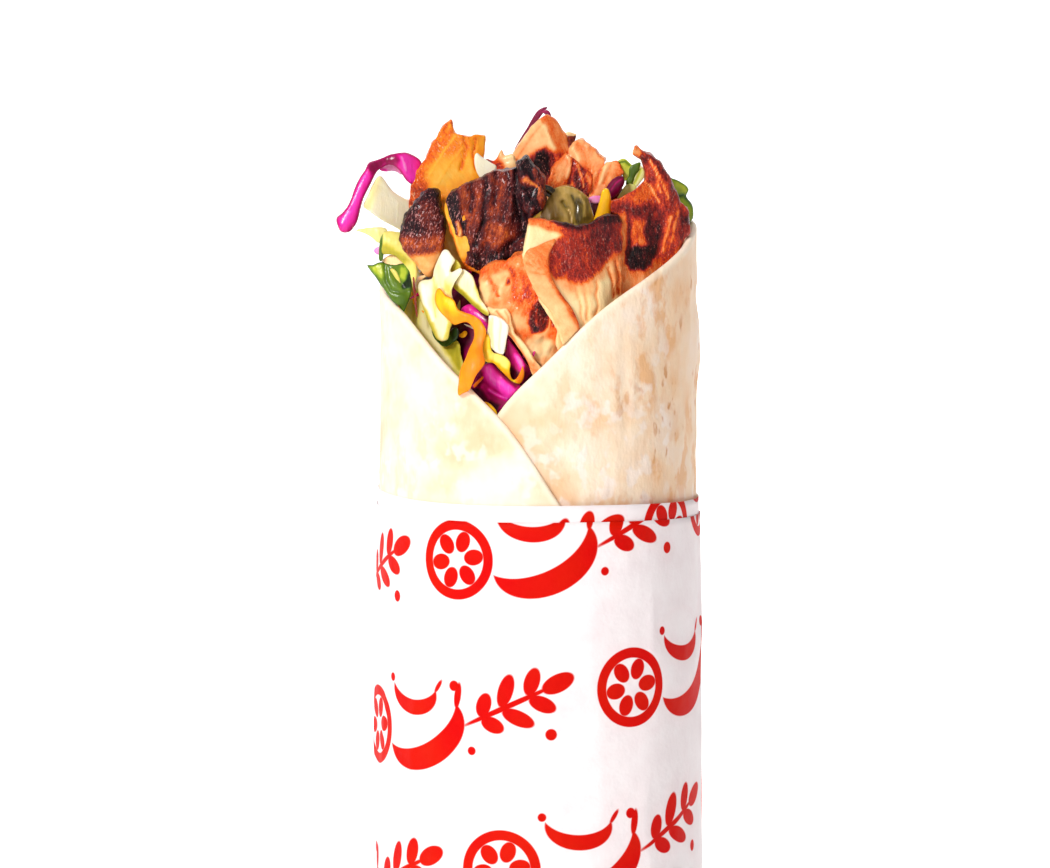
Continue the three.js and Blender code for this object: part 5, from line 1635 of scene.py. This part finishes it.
def make_stage():
    low, high = (Vector(corner) for corner in cad_bounds)
    aim = Vector(((low.x + high.x) / 2, 0.0, high.z * AIM_HEIGHT))
    raised = math.radians(CAMERA_RAISED)
    lens = bpy.data.cameras.new("camera")
    lens.lens = CAMERA_LENS
    lens.sensor_width = 36.0
    camera = bpy.data.objects.new("camera", lens)
    bpy.context.scene.collection.objects.link(camera)
    camera.location = aim + CAMERA_AWAY * Vector((0, -math.cos(raised), math.sin(raised)))
    camera.rotation_euler = (aim - camera.location).to_track_quat("-Z", "Y").to_euler()
    bpy.context.scene.camera = camera

    def lamp(name, place, size, power, tint=(1, 1, 1)):
        light = bpy.data.lights.new(name, "AREA")
        light.size = size
        light.energy = power
        light.color = tint
        made = bpy.data.objects.new(name, light)
        bpy.context.scene.collection.objects.link(made)
        made.location = aim + Vector(place)
        made.rotation_euler = (aim - made.location).to_track_quat("-Z", "Y").to_euler()

    lamp("key_light", (-0.76, -1.02, 0.85), 0.3, 17.5, (1.0, 0.985, 0.97))
    lamp("front_fill", (-0.1, -1.6, 0.2), 1.0, 2.6, (1.0, 0.94, 0.92))
    lamp("back_light", (0.2, 1.2, 1.1), 1.0, 4.0)

    sweep = bpy.data.meshes.new("backdrop")
    turn = np.linspace(0, np.pi / 2, 13)
    near, wall, bend = FLOOR_REACH
    ys = np.concatenate([[-near], wall - bend + bend * np.sin(turn), [wall]])
    zs = np.concatenate([[0.0], bend * (1 - np.cos(turn)), [bend + wall]])
    corners_of_sweep = [(side, y, z) for y, z in zip(ys, zs) for side in (-near, near)]
    faces = [(2 * k, 2 * k + 1, 2 * k + 3, 2 * k + 2) for k in range(len(ys) - 1)]
    sweep.from_pydata(corners_of_sweep, [], faces)
    sweep.shade_smooth()
    backdrop = bpy.data.objects.new("backdrop", sweep)
    bpy.context.scene.collection.objects.link(backdrop)
    pale = Finish("pale_backdrop", Roughness=0.9)
    shade = pale.ramp(pale.lumps(400.0), "30 250 250 250, 70 247 247 247")
    pale.drive("Base Color", shade)
    pale.shader.inputs["Specular IOR Level"].default_value = 0.0
    # The backdrop glows, faintly in front and more strongly further back, so that it shows plain white; its
    # glow also lights the wrap a little from behind and below.
    pale.shader.inputs["Emission Color"].default_value = (1, 1, 1, 1)
    behind = Field(pale, pale.node("SeparateXYZ", pale.node("TexCoord").outputs["Object"]).outputs[1])
    pale.drive("Emission Strength", behind.step(-0.1, 0.35) * 0.6 + 0.2)
    sweep.materials.append(pale.material)

    world = bpy.data.worlds.new("studio")
    bpy.context.scene.world = world
    world.use_nodes = True
    sky = world.node_tree.nodes["Background"]
    sky.inputs["Color"].default_value = (1.0, 0.9, 0.89, 1.0)
    sky.inputs["Strength"].default_value = 0.36
    bpy.context.scene.view_settings.view_transform = "Standard"


# ---- Assembly ----
make_stage()
make_paper()
make_bread()
for make, specs, ending in ((make_slice, SLICES | FOLDS, "_cut"), (make_shred, SHREDS, "_shred")):
    for name, spec in specs.items():
        if "of" in spec:
            make(name, spec["of"], spec)
        else:
            make(name + ending, name, spec)

# Both heaps are darker than the pieces strewn on them: painted shade in the gaps between the pieces, over
# the dark red of red cabbage and the brown of charred meat.
salad_heap = make_heap("salad_heap", "salad_filling", "red_cabbage", 0.92)
meat_heap = make_heap("meat_heap", "meat_filling", "charred_meat", 0.8)
strewn = strewn_tree()
STREWN_ALIKE = {"Lowest height": 0.150, "Least apart": 0.003, "Tilt": 0.7, "Smallest": 0.7, "Largest": 1.15}
SALAD = (salad_heap, "salad_filling")
MEAT = (meat_heap, "meat_filling")
# Name, heap and its node, slot, (length, width, thickness, curl), tone, how many per square
# metre, and seed.
STREWN = [
    ("cabbage_shreds", SALAD, "white_cabbage", (13, 2.0, 1.0, 2.4), 0.15, 16000.0, 3),
    ("lettuce_shreds", SALAD, "lettuce", (12, 3.2, 0.8, 2.0), 0.4, 12000.0, 5),
    ("red_cabbage_shreds", SALAD, "red_cabbage", (13, 1.8, 1.0, 3.0), 0.4, 12000.0, 7),
    ("carrot_shreds", SALAD, "carrot", (12, 1.8, 1.0, 2.0), 0.5, 8000.0, 9),
    ("chicken_flakes", MEAT, "roast_meat", (9, 6.0, 2.4, 1.2), 0.42, 22000.0, 11),
    ("charred_flakes", MEAT, "charred_meat", (7, 5.0, 2.4, 1.2), 0.78, 14000.0, 13),
    ("cabbage_on_meat", MEAT, "white_cabbage", (12, 1.8, 1.0, 2.4), 0.15, 5000.0, 15),
]
for name, (heap, node_name), slot, sizes, tone, density, seed in STREWN:
    shape = small_shred(name + "_one", *sizes, tone)
    values = {"Per square metre": density, "Seed": seed, **STREWN_ALIKE}
    strew(name, heap, node_name, slot, strewn, shape, values)
